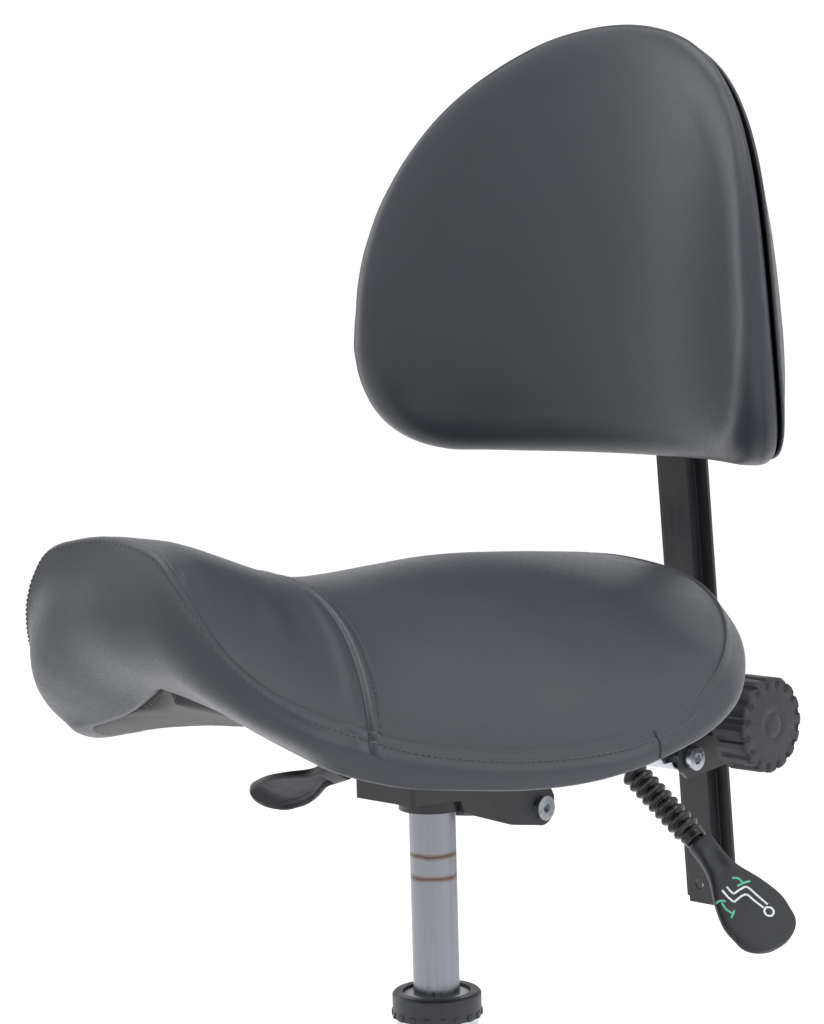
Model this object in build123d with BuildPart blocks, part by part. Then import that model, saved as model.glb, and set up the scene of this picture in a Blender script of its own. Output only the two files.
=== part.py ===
"""Saddle stool with a backrest on a gas lift: a throne for drummers.

Frame: origin on the floor under the column's axis, +Z up. The sitter faces -Y, and +X is the
sitter's left. Lengths in millimetres. The seat stands part of the way up its gas lift.
"""
import os
from math import cos, degrees, radians, sin

from build123d import *

os.makedirs("parts", exist_ok=True)

RUN = 0.05        # radial clearance of a running fit
AIR = 0.3         # air between pieces that move past each other

# ---- base and casters
LEGS = 5
STEM_CIRCLE = 280.0       # radius of the caster stems about the column
WHEEL_R = 25.0
WHEEL_W = 17.0            # width of one wheel of a pair
WHEEL_GAP = 10.0          # between the two wheels of a pair
TRAIL = 20.0              # wheel axle behind the stem
STEM_R = 5.4
AXLE_R = 3.0
HOOD_TOP = 60.0
STEM_LOW = 48.8
BOSS_BOTTOM = 64.0
BOSS_TOP = 88.0
HUB_BOTTOM = 62.0
HUB_TOP = 118.0
HUB_R = 34.0

# ---- column
TUBE_R = 25.0
TUBE_WALL = 1.9
TUBE_BOTTOM = 50.0
TUBE_FLOOR = 3.5
COLLAR_TOP = 340.0
CYL_R = 14.0
CYL_WALL = 1.6
CYL_BOTTOM = 165.0
CYL_TOP = 486.0
ROD_R = 5.0
PIN_R = 3.0

# ---- mechanism
MECH_X = 24.0             # half width over the cheeks
MECH_BOTTOM = 451.0
MECH_TOP = 492.0
SHEET = 3.0
PIVOT = (72.0, 442.0)     # tilt pivot: y, z
PIVOT_R = 5.0
PLATE_Z = 504.0           # underside of the seat plate
PLATE_T = 4.0

# ---- levers
TILT_PIN = (28.0, 138.0, 465.0)
TILT_NECK = (97.0, 138.0, 414.0)
TILT_TIP = (152.0, 138.0, 362.0)
LIFT_PIN = (-24.0, 0.0, 487.0)
LIFT_NECK = (-80.0, 0.0, 464.0)
LIFT_TIP = (-150.0, 0.0, 437.0)
LEVER_R = 4.0
TILT_ROLL = 27.0          # turn of a paddle's face about its lever, in degrees
LIFT_ROLL = 35.0
LIFT_HALF = 18.0
TILT_HALF = 22.0
PADDLE_T = 8.0
BOOT_START = 15.0         # along the tilt lever, from its pin
BOOT_END = 70.0
BOOT_FOLDS = 9
BOOT_ROOT_R = 6.6
BOOT_CREST_R = 9.0
SLEEVE_R = 7.4
SLEEVE_END = 78.0

# ---- back clamp and upright: a frame that leans with the upright
LEAN = 4.8                # degrees, top towards the sitter
UPRIGHT_AT = (0.0, 255.0, 472.0)
BAR_HALF = 20.5
RIB_HALF = 11.0
RIB_DEPTH = 9.5
BAR_SHEET = 2.5
BAR_LOW = -128.0          # along the upright, from UPRIGHT_AT
BAR_HIGH = 330.0
STOP_HOLE_R = 3.25
STOP_HOLE_AT = (-2.0, -115.0)
BACK_PIVOT = (213.0, 451.0)
STUD = (236.0, 474.0)
STUD_R = 4.0
KNOB_R = 31.0
KNOB_FACES = 16
CLAMP_X = 27.0

# ---- backrest: a D-shaped pad bent round a vertical axis
BACK_AXIS_Y = -17.0
BACK_BOTTOM = 648.0
BACK_H = 268.0
BACK_FRONT_R = (190.0, 190.5)     # radius of the front face at the bottom and at the top
BACK_REAR_R = (225.0, 207.0)      # radius of the pad's rear face at the bottom and at the top
BACK_WIDE_H = 77.0                # height where the pad is widest
BACK_HALF_ARC = 173.0             # half of its width there, along the arc of the front face
BACK_CORNER = 69.0                # run of the lower corners along the arc
CORNER_POWER = 2.4                # squareness of the lower corners, 2 for an ellipse
BACK_LEVELS = (0, 0.01, 0.035, 0.08, 0.15, 0.29, 0.42, 0.54, 0.65, 0.75, 0.83, 0.9, 0.95, 0.98, 0.995)


def save(part, name):
    """Label a finished piece and write it as one STEP."""
    part.label = name
    export_step(part, f"parts/{name}.step")


# ---------------------------------------------------------------- base
def build_base():
    root_r, tip_r = 26.0, STEM_CIRCLE - 8.0
    with BuildPart() as leg:
        with BuildSketch(Plane(origin=(root_r, 0, 94), x_dir=(0, 1, 0), z_dir=(1, 0, 0))):
            RectangleRounded(42, 38, 6)
        with BuildSketch(Plane(origin=(tip_r, 0, 77), x_dir=(0, 1, 0), z_dir=(1, 0, 0))):
            RectangleRounded(26, 19, 6)
        loft()
        with BuildSketch(Plane(origin=(root_r, 0, 89), x_dir=(0, 1, 0), z_dir=(1, 0, 0))):
            Rectangle(36, 40)
        with BuildSketch(Plane(origin=(tip_r - 14, 0, 72), x_dir=(0, 1, 0), z_dir=(1, 0, 0))):
            Rectangle(19, 22)
        loft(mode=Mode.SUBTRACT)
        with BuildSketch(Plane.XZ):
            with BuildLine():
                Polyline((STEM_CIRCLE, BOSS_BOTTOM), (STEM_CIRCLE + 16, BOSS_BOTTOM),
                         (STEM_CIRCLE + 16, BOSS_TOP - 5))
                JernArc((STEM_CIRCLE + 16, BOSS_TOP - 5), (0, 1), 5, 90)
                Polyline((STEM_CIRCLE + 11, BOSS_TOP), (STEM_CIRCLE, BOSS_TOP), (STEM_CIRCLE, BOSS_BOTTOM))
            make_face()
        revolve(axis=Axis((STEM_CIRCLE, 0, 0), (0, 0, 1)))
    with BuildPart() as base:
        with BuildSketch(Plane.XZ):
            with BuildLine():
                Polyline((0, HUB_BOTTOM), (HUB_R, HUB_BOTTOM), (HUB_R, 100), (HUB_R - 5, HUB_TOP),
                         (0, HUB_TOP), close=True)
            make_face()
        revolve(axis=Axis.Z)
        with PolarLocations(0, LEGS, start_angle=-90):
            add(leg.part)
        with BuildSketch(Plane.XZ):
            with BuildLine():
                Polyline((0, TUBE_BOTTOM), (TUBE_R - 1.4, TUBE_BOTTOM), (TUBE_R, HUB_TOP + 2),
                         (0, HUB_TOP + 2), close=True)
            make_face()
        revolve(axis=Axis.Z, mode=Mode.SUBTRACT)
        with PolarLocations(STEM_CIRCLE, LEGS, start_angle=-90):
            with Locations((0, 0, BOSS_BOTTOM)):
                Cylinder(STEM_R + RUN, 20, align=(Align.CENTER, Align.CENTER, Align.MIN),
                         mode=Mode.SUBTRACT)
    save(base.part, "five_star_base")


def caster_plane(index):
    """Frame of one caster: origin on the floor under its stem, +X towards its wheels."""
    leg_angle = -90.0 + index * 360.0 / LEGS
    heading = leg_angle + 60.0 + 40.0 * index
    origin = (STEM_CIRCLE * cos(radians(leg_angle)), STEM_CIRCLE * sin(radians(leg_angle)), 0)
    return Plane(origin=origin, x_dir=(cos(radians(heading)), sin(radians(heading)), 0), z_dir=(0, 0, 1))


def build_caster(index):
    frame = caster_plane(index)
    name = f"caster_{index + 1}"
    side = Plane(origin=frame.origin, x_dir=frame.x_dir, z_dir=-frame.y_dir)
    axle_dir = frame.y_dir
    axle_at = frame.from_local_coords((TRAIL, 0, WHEEL_R))
    across = Plane(origin=axle_at, x_dir=frame.x_dir, z_dir=-axle_dir)
    half_wheels = WHEEL_GAP / 2 + WHEEL_W

    with BuildPart() as stem:
        with BuildSketch(side):
            with BuildLine():
                Polyline((0, STEM_LOW), (STEM_R, STEM_LOW), (STEM_R, HOOD_TOP), (9, HOOD_TOP),
                         (9, HOOD_TOP + 3.4), (STEM_R, HOOD_TOP + 3.4), (STEM_R, 81), (STEM_R - 1.5, 83),
                         (0, 83), close=True)
            make_face()
        revolve(axis=Axis(frame.origin, (0, 0, 1)))
    save(stem.part, f"{name}_stem")

    with BuildPart() as hood:
        with BuildSketch(across):
            Circle(21)
        extrude(amount=WHEEL_GAP / 2 - 0.6, both=True)
        with BuildSketch(Plane(origin=frame.origin + Vector(0, 0, STEM_LOW), z_dir=(0, 0, 1))):
            Circle(9.5)
        extrude(amount=HOOD_TOP - STEM_LOW)
        with BuildSketch(across):
            Circle(WHEEL_R + 3.8)
            Circle(WHEEL_R + 1.2, mode=Mode.SUBTRACT)
            with Locations((0, 0)):
                Rectangle(80, 60, align=(Align.CENTER, Align.MAX), mode=Mode.SUBTRACT)
        extrude(amount=half_wheels - 0.5, both=True)
        with BuildSketch(across):
            Circle(WHEEL_R + 2)
            Rectangle(80, 60, align=(Align.CENTER, Align.MAX), mode=Mode.SUBTRACT)
        extrude(amount=WHEEL_GAP / 2 - 0.6, both=True)
        with BuildSketch(across):
            Circle(AXLE_R)
        extrude(amount=30, both=True, mode=Mode.SUBTRACT)
        with BuildSketch(Plane(origin=frame.origin + Vector(0, 0, STEM_LOW - 5), z_dir=(0, 0, 1))):
            Circle(STEM_R)
        extrude(amount=40, mode=Mode.SUBTRACT)
    save(hood.part, f"{name}_hood")

    with BuildPart() as axle:
        with BuildSketch(across):
            Circle(AXLE_R)
        extrude(amount=half_wheels - 2.3, both=True)
    save(axle.part, f"{name}_axle")

    with BuildPart() as wheels:
        for sign in (1, -1):
            inner = Plane(origin=axle_at + axle_dir * (sign * WHEEL_GAP / 2), x_dir=frame.x_dir,
                          z_dir=axle_dir * sign)
            with BuildSketch(inner):
                Circle(WHEEL_R)
            extrude(amount=WHEEL_W)
            with BuildSketch(inner):
                Circle(AXLE_R + RUN)
            extrude(amount=WHEEL_W - 2, mode=Mode.SUBTRACT)
            with BuildSketch(inner.offset(WHEEL_W)):
                Circle(19)
                Circle(8, mode=Mode.SUBTRACT)
            extrude(amount=-1.5, mode=Mode.SUBTRACT)
        rims = wheels.edges().filter_by(GeomType.CIRCLE).filter_by(lambda e: abs(e.radius - WHEEL_R) < 0.01)
        fillet(rims, 2.5)
    save(wheels.part, f"{name}_wheels")


# ---------------------------------------------------------------- column
def turned(points):
    """A solid turned about the column's axis from an (r, z) outline."""
    with BuildPart() as body:
        with BuildSketch(Plane.XZ):
            with BuildLine():
                Polyline(*points, close=True)
            make_face()
        revolve(axis=Axis.Z)
    return body.part


def build_column():
    inner_r = TUBE_R - TUBE_WALL
    floor = TUBE_BOTTOM + TUBE_FLOOR
    tube_top = COLLAR_TOP - 5.0
    save(turned([(ROD_R + 0.06, TUBE_BOTTOM), (TUBE_R - 1.4, TUBE_BOTTOM), (TUBE_R, HUB_TOP + 2),
                 (TUBE_R, tube_top), (inner_r, tube_top), (inner_r, HUB_TOP + 2),
                 (inner_r - 1.4, floor), (ROD_R + 0.06, floor)]), "outer_tube")
    save(turned([(CYL_R + RUN, 255), (inner_r, 255), (inner_r, tube_top), (20, tube_top),
                 (20, tube_top + 3), (CYL_R + RUN, tube_top + 3)]), "guide_sleeve")

    with BuildPart() as collar:
        with BuildSketch(Plane.XZ):
            with BuildLine():
                Polyline((TUBE_R, 325), (TUBE_R + 1.8, 325), (TUBE_R + 1.8, COLLAR_TOP - 1.5),
                         (TUBE_R + 0.3, COLLAR_TOP), (20.4, COLLAR_TOP), (20.4, tube_top),
                         (TUBE_R, tube_top), close=True)
            make_face()
        revolve(axis=Axis.Z)
        with PolarLocations(TUBE_R + 1.7, 18):
            with Locations((0, 0, 325)):
                Box(1.4, 4, 4, align=(Align.CENTER, Align.CENTER, Align.MIN))
    save(collar.part, "top_collar")

    washer_low = floor
    ball_r = 2.0
    ball_z = washer_low + 2.0 + RUN + ball_r
    washer_high = ball_z + ball_r + RUN
    buffer_low = washer_high + 2.0
    save(turned([(6, washer_low), (15, washer_low), (15, washer_low + 2), (6, washer_low + 2)]),
         "bearing_lower_washer")
    with BuildPart() as cage:
        with BuildSketch(Plane.XY.offset(ball_z - 0.6)):
            Circle(14)
            Circle(7, mode=Mode.SUBTRACT)
        extrude(amount=1.2)
        with PolarLocations(10.5, 10):
            with Locations((0, 0, ball_z)):
                Sphere(ball_r)
    save(cage.part, "bearing_cage")
    save(turned([(ROD_R, washer_high), (15, washer_high), (15, buffer_low), (ROD_R, buffer_low)]),
         "bearing_upper_washer")
    save(turned([(ROD_R, buffer_low), (13, buffer_low), (15, buffer_low + 5), (13, buffer_low + 11),
                 (ROD_R, buffer_low + 11)]), "rod_buffer")
    save(turned([(ROD_R - 1, 45.5), (9, 45.5), (9, 47.5), (ROD_R - 1, 47.5)]), "rod_clip")
    bore = CYL_R - CYL_WALL
    save(turned([(0, 41), (ROD_R, 41), (ROD_R, 45.5), (ROD_R - 1, 45.5), (ROD_R - 1, 47.5),
                 (ROD_R, 47.5), (ROD_R, 308), (bore - RUN, 308), (bore - RUN, 320), (0, 320)]),
         "piston_rod")
    taper_low = MECH_BOTTOM + 1.0
    save(turned([(ROD_R + RUN, CYL_BOTTOM), (CYL_R - 1, CYL_BOTTOM), (CYL_R, CYL_BOTTOM + 1),
                 (CYL_R, taper_low), (CYL_R - 0.8, CYL_TOP), (PIN_R + RUN, CYL_TOP),
                 (PIN_R + RUN, CYL_TOP - 12), (bore - 2, CYL_TOP - 12), (bore, CYL_TOP - 16),
                 (bore, CYL_BOTTOM + 14), (ROD_R + RUN, CYL_BOTTOM + 14)]), "gas_cylinder")
    save(turned([(0, CYL_TOP - 9), (PIN_R, CYL_TOP - 9), (PIN_R, CYL_TOP + 4), (PIN_R - 0.8, CYL_TOP + 5),
                 (0, CYL_TOP + 5)]), "release_pin")


# ---------------------------------------------------------------- mechanism
def side_plane(x):
    """Plane across the stool at x: its local x runs along +Y and its local y along +Z."""
    return Plane(origin=(x, 0, 0), x_dir=(0, 1, 0), z_dir=(1, 0, 0))


def build_mechanism():
    py, pz = PIVOT
    lug = 11.0
    with BuildPart() as housing:
        with BuildSketch(side_plane(0)):
            with BuildLine():
                Polyline((-41, 461), (-41, MECH_TOP), (58, MECH_TOP), (py + lug, pz + 6), (py + lug, pz),
                         (py, pz - lug), (44, 436), (3, 450), (0, 458), close=True)
            make_face()
            with Locations((py, pz)):
                Circle(lug)
        extrude(amount=MECH_X, both=True)
        front_corners = housing.edges().filter_by(Axis.Z).group_by(Axis.Y)[0]
        fillet(front_corners, 3)
        with BuildSketch(Plane.XY.offset(MECH_TOP)):
            with Locations((0, 25)):
                Rectangle(2 * (MECH_X - SHEET), 2 * (66 - SHEET))
        extrude(amount=-(MECH_TOP - 461 - SHEET), mode=Mode.SUBTRACT)
        with BuildSketch(Plane.XY.offset(MECH_TOP)):
            with Locations((0, 51.5)):
                Rectangle(2 * (MECH_X - SHEET), 97)
        extrude(amount=-80, mode=Mode.SUBTRACT)
        with BuildSketch(Plane.XY.offset(MECH_BOTTOM)):
            Circle(20)
        extrude(amount=33)
        with BuildSketch(Plane.XZ):
            with BuildLine():
                Polyline((0, MECH_BOTTOM), (CYL_R, MECH_BOTTOM), (CYL_R, MECH_BOTTOM + 1),
                         (CYL_R - 0.8, CYL_TOP), (0, CYL_TOP), close=True)
            make_face()
        revolve(axis=Axis.Z, mode=Mode.SUBTRACT)
        with BuildSketch(side_plane(0)):
            with Locations((py, pz)):
                Circle(PIVOT_R)
        extrude(amount=40, both=True, mode=Mode.SUBTRACT)
        pin_x, _, pin_z = LIFT_PIN
        with Locations((pin_x - 1, 7.75, pin_z), (pin_x - 1, -7.75, pin_z)):
            Box(12, 2.5, 14)
        with Locations((pin_x, 0, pin_z - 2)):
            Box(14, 13, 18, mode=Mode.SUBTRACT)
        with BuildSketch(Plane.XZ):
            with Locations((pin_x, pin_z)):
                Circle(2)
        extrude(amount=12, both=True, mode=Mode.SUBTRACT)
    save(housing.part, "mech_housing")

    with BuildPart() as pin:
        with BuildSketch(Plane.XZ):
            with Locations((pin_x, pin_z)):
                Circle(2)
        extrude(amount=10, both=True)
    save(pin.part, "height_lever_pin")

    with BuildPart() as bolt:
        with BuildSketch(side_plane(-MECH_X - 1)):
            with Locations((py, pz)):
                Circle(PIVOT_R)
        extrude(amount=2 * MECH_X + 2)
        with BuildSketch(side_plane(MECH_X)):
            with Locations((py, pz)):
                Circle(7.5)
        extrude(amount=3.5)
        with BuildSketch(side_plane(MECH_X + 3.5)):
            with Locations((py, pz)):
                RegularPolygon(3, 6)
        extrude(amount=-2.5, mode=Mode.SUBTRACT)
        with BuildSketch(side_plane(-MECH_X)):
            with Locations((py, pz)):
                RegularPolygon(8, 6)
        extrude(amount=-6)
    save(bolt.part, "tilt_pivot_bolt")

    tongue = MECH_X - SHEET - AIR - 3.0
    with BuildPart() as plate:
        with BuildSketch(Plane.XY.offset(PLATE_Z)):
            with Locations((0, 0)):
                RectangleRounded(130, 160, 12)
        extrude(amount=PLATE_T)
        for sign in (1, -1):
            with BuildSketch(side_plane(sign * tongue)):
                with BuildLine():
                    Polyline((46, PLATE_Z), (80, PLATE_Z), (py + 10, pz), (py - 10, pz), close=True)
                make_face()
                with Locations((py, pz)):
                    Circle(10)
                    Circle(PIVOT_R + RUN, mode=Mode.SUBTRACT)
            extrude(amount=sign * 3.0)
        with Locations(*[(x, y, PLATE_Z) for x in (-50, 50) for y in (-62, 62)]):
            Cylinder(3.2, 20, mode=Mode.SUBTRACT)
    save(plate.part, "seat_plate")

    arm_half = 18.0
    by, bz = BACK_PIVOT
    with BuildPart() as arm:
        with BuildSketch(side_plane(0)):
            with BuildLine():
                Polyline((84, PLATE_Z), (84, PLATE_Z - 5), (154, PLATE_Z - 5), (196, bz - 3), (by, bz - 3),
                         (by, bz + 3), (199, bz + 3), (157, PLATE_Z), close=True)
            make_face()
            with Locations((by, bz)):
                Circle(9)
        extrude(amount=arm_half, both=True)
        with BuildSketch(Plane.XY.offset(PLATE_Z - 5)):
            with Locations((0, 69)):
                Rectangle(2 * (tongue - 1), 34)
        extrude(amount=5)
        with BuildSketch(side_plane(0)):
            with Locations((by, bz)):
                Circle(STUD_R)
        extrude(amount=40, both=True, mode=Mode.SUBTRACT)
    save(arm.part, "back_arm")

    with BuildPart() as bolt:
        with BuildSketch(side_plane(-CLAMP_X - AIR)):
            with Locations((by, bz)):
                Circle(STUD_R)
        extrude(amount=2 * (CLAMP_X + AIR))
        with BuildSketch(side_plane(CLAMP_X + AIR)):
            with Locations((by, bz)):
                Circle(7.5)
        extrude(amount=5)
        with BuildSketch(side_plane(CLAMP_X + AIR + 5)):
            with Locations((by, bz)):
                RegularPolygon(3.5, 6)
        extrude(amount=-3, mode=Mode.SUBTRACT)
        with BuildSketch(side_plane(-CLAMP_X - AIR)):
            with Locations((by, bz)):
                RegularPolygon(7.5, 6)
        extrude(amount=-6)
    save(bolt.part, "bracket_bolt")


# ---------------------------------------------------------------- levers
def lever_frame(neck, tip, roll):
    """Paddle frame: x along the lever from neck to tip, z out of its upper face."""
    along = (Vector(*tip) - Vector(*neck)).normalized()
    level = Vector(0, 1, 0)
    up = along.cross(level) if along.X < 0 else level.cross(along) * -1
    if up.Z < 0:
        up = up * -1
    up = up.rotate(Axis((0, 0, 0), (along.X, along.Y, along.Z)), roll)
    return Plane(origin=neck, x_dir=along, z_dir=up)


def paddle_body(pin, neck, tip, roll, half):
    """A spoon-shaped paddle, half its width given, moulded on the end of a lever's rod."""
    frame = lever_frame(neck, tip, roll)
    rod = rod_between(pin, neck, LEVER_R)
    reach = (Vector(*tip) - Vector(*neck)).length
    with BuildPart() as paddle:
        with BuildSketch(frame.offset(-PADDLE_T / 2)):
            with BuildLine():
                near, wide, far = 0.22 * reach, 0.62 * reach, 0.93 * reach
                Spline((-6, 8), (near, 0.55 * half), (wide, half), (far, 0.64 * half), (reach, 0),
                       (far, -0.64 * half), (wide, -half), (near, -0.55 * half), (-6, -8))
                Line((-6, -8), (-6, 8))
            make_face()
        extrude(amount=PADDLE_T)
        fillet(paddle.edges().filter_by(lambda e: e.length > 60), 3)
        add(rod, mode=Mode.SUBTRACT)
    return paddle.part


def rod_between(start, end, radius):
    start, end = Vector(*start), Vector(*end)
    with BuildPart() as rod:
        with BuildSketch(Plane(origin=start, z_dir=(end - start).normalized())):
            Circle(radius)
        extrude(amount=(end - start).length)
    return rod.part


def build_levers():
    x, y, z = TILT_PIN
    with BuildPart() as bracket:
        with Locations((10, y, PLATE_Z - 6.5)):
            Box(36, 26, 3)
        for side in (-1, 1):
            with Locations((24, y + side * 10, PLATE_Z - 26)):
                Box(20, 2.5, 42)
        with BuildSketch(Plane.XZ.offset(-y)):
            with Locations((x, z)):
                Circle(3)
        extrude(amount=20, both=True, mode=Mode.SUBTRACT)
    save(bracket.part, "lever_bracket")

    with BuildPart() as pin:
        with BuildSketch(Plane.XZ.offset(-y)):
            with Locations((x, z)):
                Circle(3)
        extrude(amount=13, both=True)
    save(pin.part, "lever_pivot_pin")

    shaft = rod_between(TILT_PIN, TILT_NECK, LEVER_R)
    with BuildPart() as rod:
        add(shaft)
        with BuildSketch(Plane.XZ.offset(-y)):
            with Locations((x, z)):
                Circle(7)
        extrude(amount=8, both=True)
        with BuildSketch(Plane.XZ.offset(-y)):
            with Locations((x, z)):
                Circle(3 + RUN)
        extrude(amount=8, both=True, mode=Mode.SUBTRACT)
    save(rod.part, "tilt_lever_rod")

    start, end = Vector(*TILT_PIN), Vector(*TILT_NECK)
    along = (end - start).normalized()
    side = Plane(origin=start, x_dir=Vector(0, 1, 0).cross(along), z_dir=(0, 1, 0))
    pitch = (BOOT_END - BOOT_START) / BOOT_FOLDS
    outline = [(LEVER_R, BOOT_START)]
    for fold in range(BOOT_FOLDS):
        low = BOOT_START + fold * pitch
        outline += [(BOOT_ROOT_R, low), (BOOT_CREST_R, low + 0.35 * pitch),
                    (BOOT_CREST_R, low + 0.65 * pitch)]
    outline += [(SLEEVE_R, BOOT_END), (SLEEVE_R, SLEEVE_END), (LEVER_R, SLEEVE_END)]
    with BuildPart() as boot:
        with BuildSketch(side):
            with BuildLine():
                Polyline(*[side.to_local_coords(start + side.x_dir * r + along * t) for r, t in outline],
                         close=True)
            make_face()
        revolve(axis=Axis(start, along))
    save(boot.part, "tilt_boot")
    save(paddle_body(TILT_PIN, TILT_NECK, TILT_TIP, TILT_ROLL, TILT_HALF), "tilt_paddle")

    x, y, z = LIFT_PIN
    shaft = rod_between(LIFT_PIN, LIFT_NECK, LEVER_R)
    with BuildPart() as rod:
        add(shaft)
        with BuildSketch(Plane.XZ):
            with Locations((x, z)):
                Circle(5.5)
        extrude(amount=6, both=True)
        with Locations((x + 14, 0, CYL_TOP + 5.3 + 1.5)):
            Box(28, 9, 3)
        with BuildSketch(Plane.XZ):
            with Locations((x, z)):
                Circle(2 + RUN)
        extrude(amount=7, both=True, mode=Mode.SUBTRACT)
    save(rod.part, "height_lever_rod")
    save(paddle_body(LIFT_PIN, LIFT_NECK, LIFT_TIP, LIFT_ROLL, LIFT_HALF), "height_paddle")


# ---------------------------------------------------------------- seat
# The seat is a saddle: each station across it is given at its place along Y by the half width
# and height of the seam round the top panel, the crest on the centreline, the half width and
# height of the lower edge of the side band, and the height of the underside in the middle.
SEAT_STATIONS = [
    # y,    seam_x, seam_z, crest_z, edge_x, edge_z, under_z
    (-251,  40, 612, 622,  36, 578, 576),
    (-244,  54, 616, 637,  54, 560, 566),
    (-228,  76, 576, 643,  76, 537, 553),
    (-196, 104, 544, 632, 104, 512, 539),
    (-155, 131, 523, 617, 131, 499, 524),
    (-110, 152, 514, 605, 153, 493, 512),
    (-60,  172, 511, 599, 174, 493, 508),
    (0,    186, 519, 598, 189, 504, 508),
    (64,   173, 543, 597, 178, 520, 508),
    (110,  140, 560, 592, 146, 534, 516),
    (145,  92,  573, 587,  96, 549, 537),
    (166,  40,  580, 582,  44, 556, 552),
    (172,  24,  574, 575,  24, 562, 562),
]
BOARD_INSET = 17.0
BOARD_T = 10.0
BOARD_Y = (-200.0, 145.0)
BOARD_ROOM = 0.6          # room between the board and the foam round it
LINING_LIFT = 0.3         # room under the lining
LINING_T = 1.2
UNDER_LIFT = 2.0          # the foam's underside over the lower edge


def between(before, start, end, after, t):
    """A smooth value a share t of the way from start to end."""
    slope_in, slope_out = (end - before) / 2, (after - start) / 2
    return ((2 * t ** 3 - 3 * t ** 2 + 1) * start + (t ** 3 - 2 * t ** 2 + t) * slope_in
            + (3 * t ** 2 - 2 * t ** 3) * end + (t ** 3 - t ** 2) * slope_out)


def smooth_stations(stations, steps):
    """The stations with more between them, on a smooth curve through them."""
    padded = [stations[0], *stations, stations[-1]]
    result = []
    for quad in zip(padded, padded[1:], padded[2:], padded[3:]):
        for step in range(steps):
            result.append(tuple(between(*values, step / steps) for values in zip(*quad)))
    return [*result, tuple(stations[-1])]


def underside(station):
    """Half width of the board, its height there, and half width of its flat middle."""
    y, seam_x, seam_z, crest_z, edge_x, edge_z, under_z = station
    wide = max(edge_x - BOARD_INSET, 10.0)
    flat = min(80.0, 0.5 * edge_x, 0.8 * wide)
    rise = edge_z + (under_z - edge_z) * BOARD_INSET / max(edge_x - flat, BOARD_INSET)
    return wide, rise, flat


def seat_section(station):
    """Closed outline of the cushion at one station, in the XZ plane there."""
    y, seam_x, seam_z, crest_z, edge_x, edge_z, under_z = station
    drop = crest_z - seam_z
    bulge = 0.16 * (seam_z - edge_z)
    mid_z = (seam_z + edge_z) / 2
    wide, rise, flat = underside(station)
    shares = (0.0, 0.3, 0.55, 0.8, 1.0)
    right = [(share * seam_x, crest_z - drop * share ** 1.9) for share in shares]
    right += [(max(seam_x, edge_x) + bulge, mid_z), (edge_x, edge_z), (wide, rise + UNDER_LIFT),
              (flat, under_z + UNDER_LIFT)]
    left = [(-x, z) for x, z in reversed(right) if x > 0]
    with BuildSketch(Plane(origin=(0, y, 0), x_dir=(1, 0, 0), z_dir=(0, -1, 0))) as sketch:
        with BuildLine():
            Polyline(*right, *left, close=True)
        make_face()
    return sketch.sketch


def board_section(station, bottom, top, inset):
    """Outline between two heights above the underside, a distance inside the lower edge."""
    y, under_z = station[0], station[-1]
    wide, lift, flat = underside(station)
    wide -= inset
    low = [(-wide, lift + bottom), (-flat, under_z + bottom),
           (flat, under_z + bottom), (wide, lift + bottom)]
    high = [(wide, lift + top), (flat, under_z + top), (-flat, under_z + top), (-wide, lift + top)]
    with BuildSketch(Plane(origin=(0, y, 0), x_dir=(1, 0, 0), z_dir=(0, -1, 0))) as sketch:
        with BuildLine():
            Polyline(*low, *high, close=True)
        make_face()
    return sketch.sketch


def build_seat():
    fine = smooth_stations(SEAT_STATIONS, 2)
    inner = [station for station in fine if BOARD_Y[0] <= station[0] <= BOARD_Y[1]]
    lining_top = LINING_LIFT + LINING_T
    board_sections = [board_section(station, lining_top, BOARD_T, 1.5) for station in inner]
    lining_sections = [board_section(station, LINING_LIFT, lining_top, 1.5) for station in inner]
    roof = BOARD_T + BOARD_ROOM
    pocket_sections = [board_section(station, -4, roof, 1.5 - BOARD_ROOM) for station in inner]
    cushion_sections = [seat_section(station) for station in fine]
    with BuildPart() as board:
        loft(board_sections, ruled=True)
        with Locations(*[(x, y, PLATE_Z) for x in (-50, 50) for y in (-62, 62)]):
            Cylinder(3.0, 60, mode=Mode.SUBTRACT)
    with BuildPart() as lining:
        loft(lining_sections, ruled=True)
        with Locations((0, 0, PLATE_Z)):
            Box(131, 161, 40, mode=Mode.SUBTRACT)
    with BuildPart() as pocket:
        loft(pocket_sections, ruled=True)
    with BuildPart() as cushion:
        loft(cushion_sections, ruled=True)
        add(pocket.part, mode=Mode.SUBTRACT)
    save(board.part, "seat_board")
    save(lining.part, "seat_lining")
    save(cushion.part, "seat_cushion")
    with BuildPart() as bolts:
        with Locations(*[(x, y, PLATE_Z) for x in (-50, 50) for y in (-62, 62)]):
            Cylinder(3.0, 12, align=(Align.CENTER, Align.CENTER, Align.MIN))
            Cylinder(6.0, 4, align=(Align.CENTER, Align.CENTER, Align.MAX))
    save(bolts.part, "seat_bolts")


# ---------------------------------------------------------------- back clamp and upright
def lean_plane():
    """Frame of the upright: z runs up along it, y towards the rear."""
    up = (0, -sin(radians(LEAN)), cos(radians(LEAN)))
    return Plane(origin=UPRIGHT_AT, x_dir=(1, 0, 0), z_dir=up)


def in_lean(y, z):
    """A world (y, z) point as (y, z) in the upright's frame."""
    local = lean_plane().to_local_coords(Vector(0, y, z))
    return local.Y, local.Z


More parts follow.
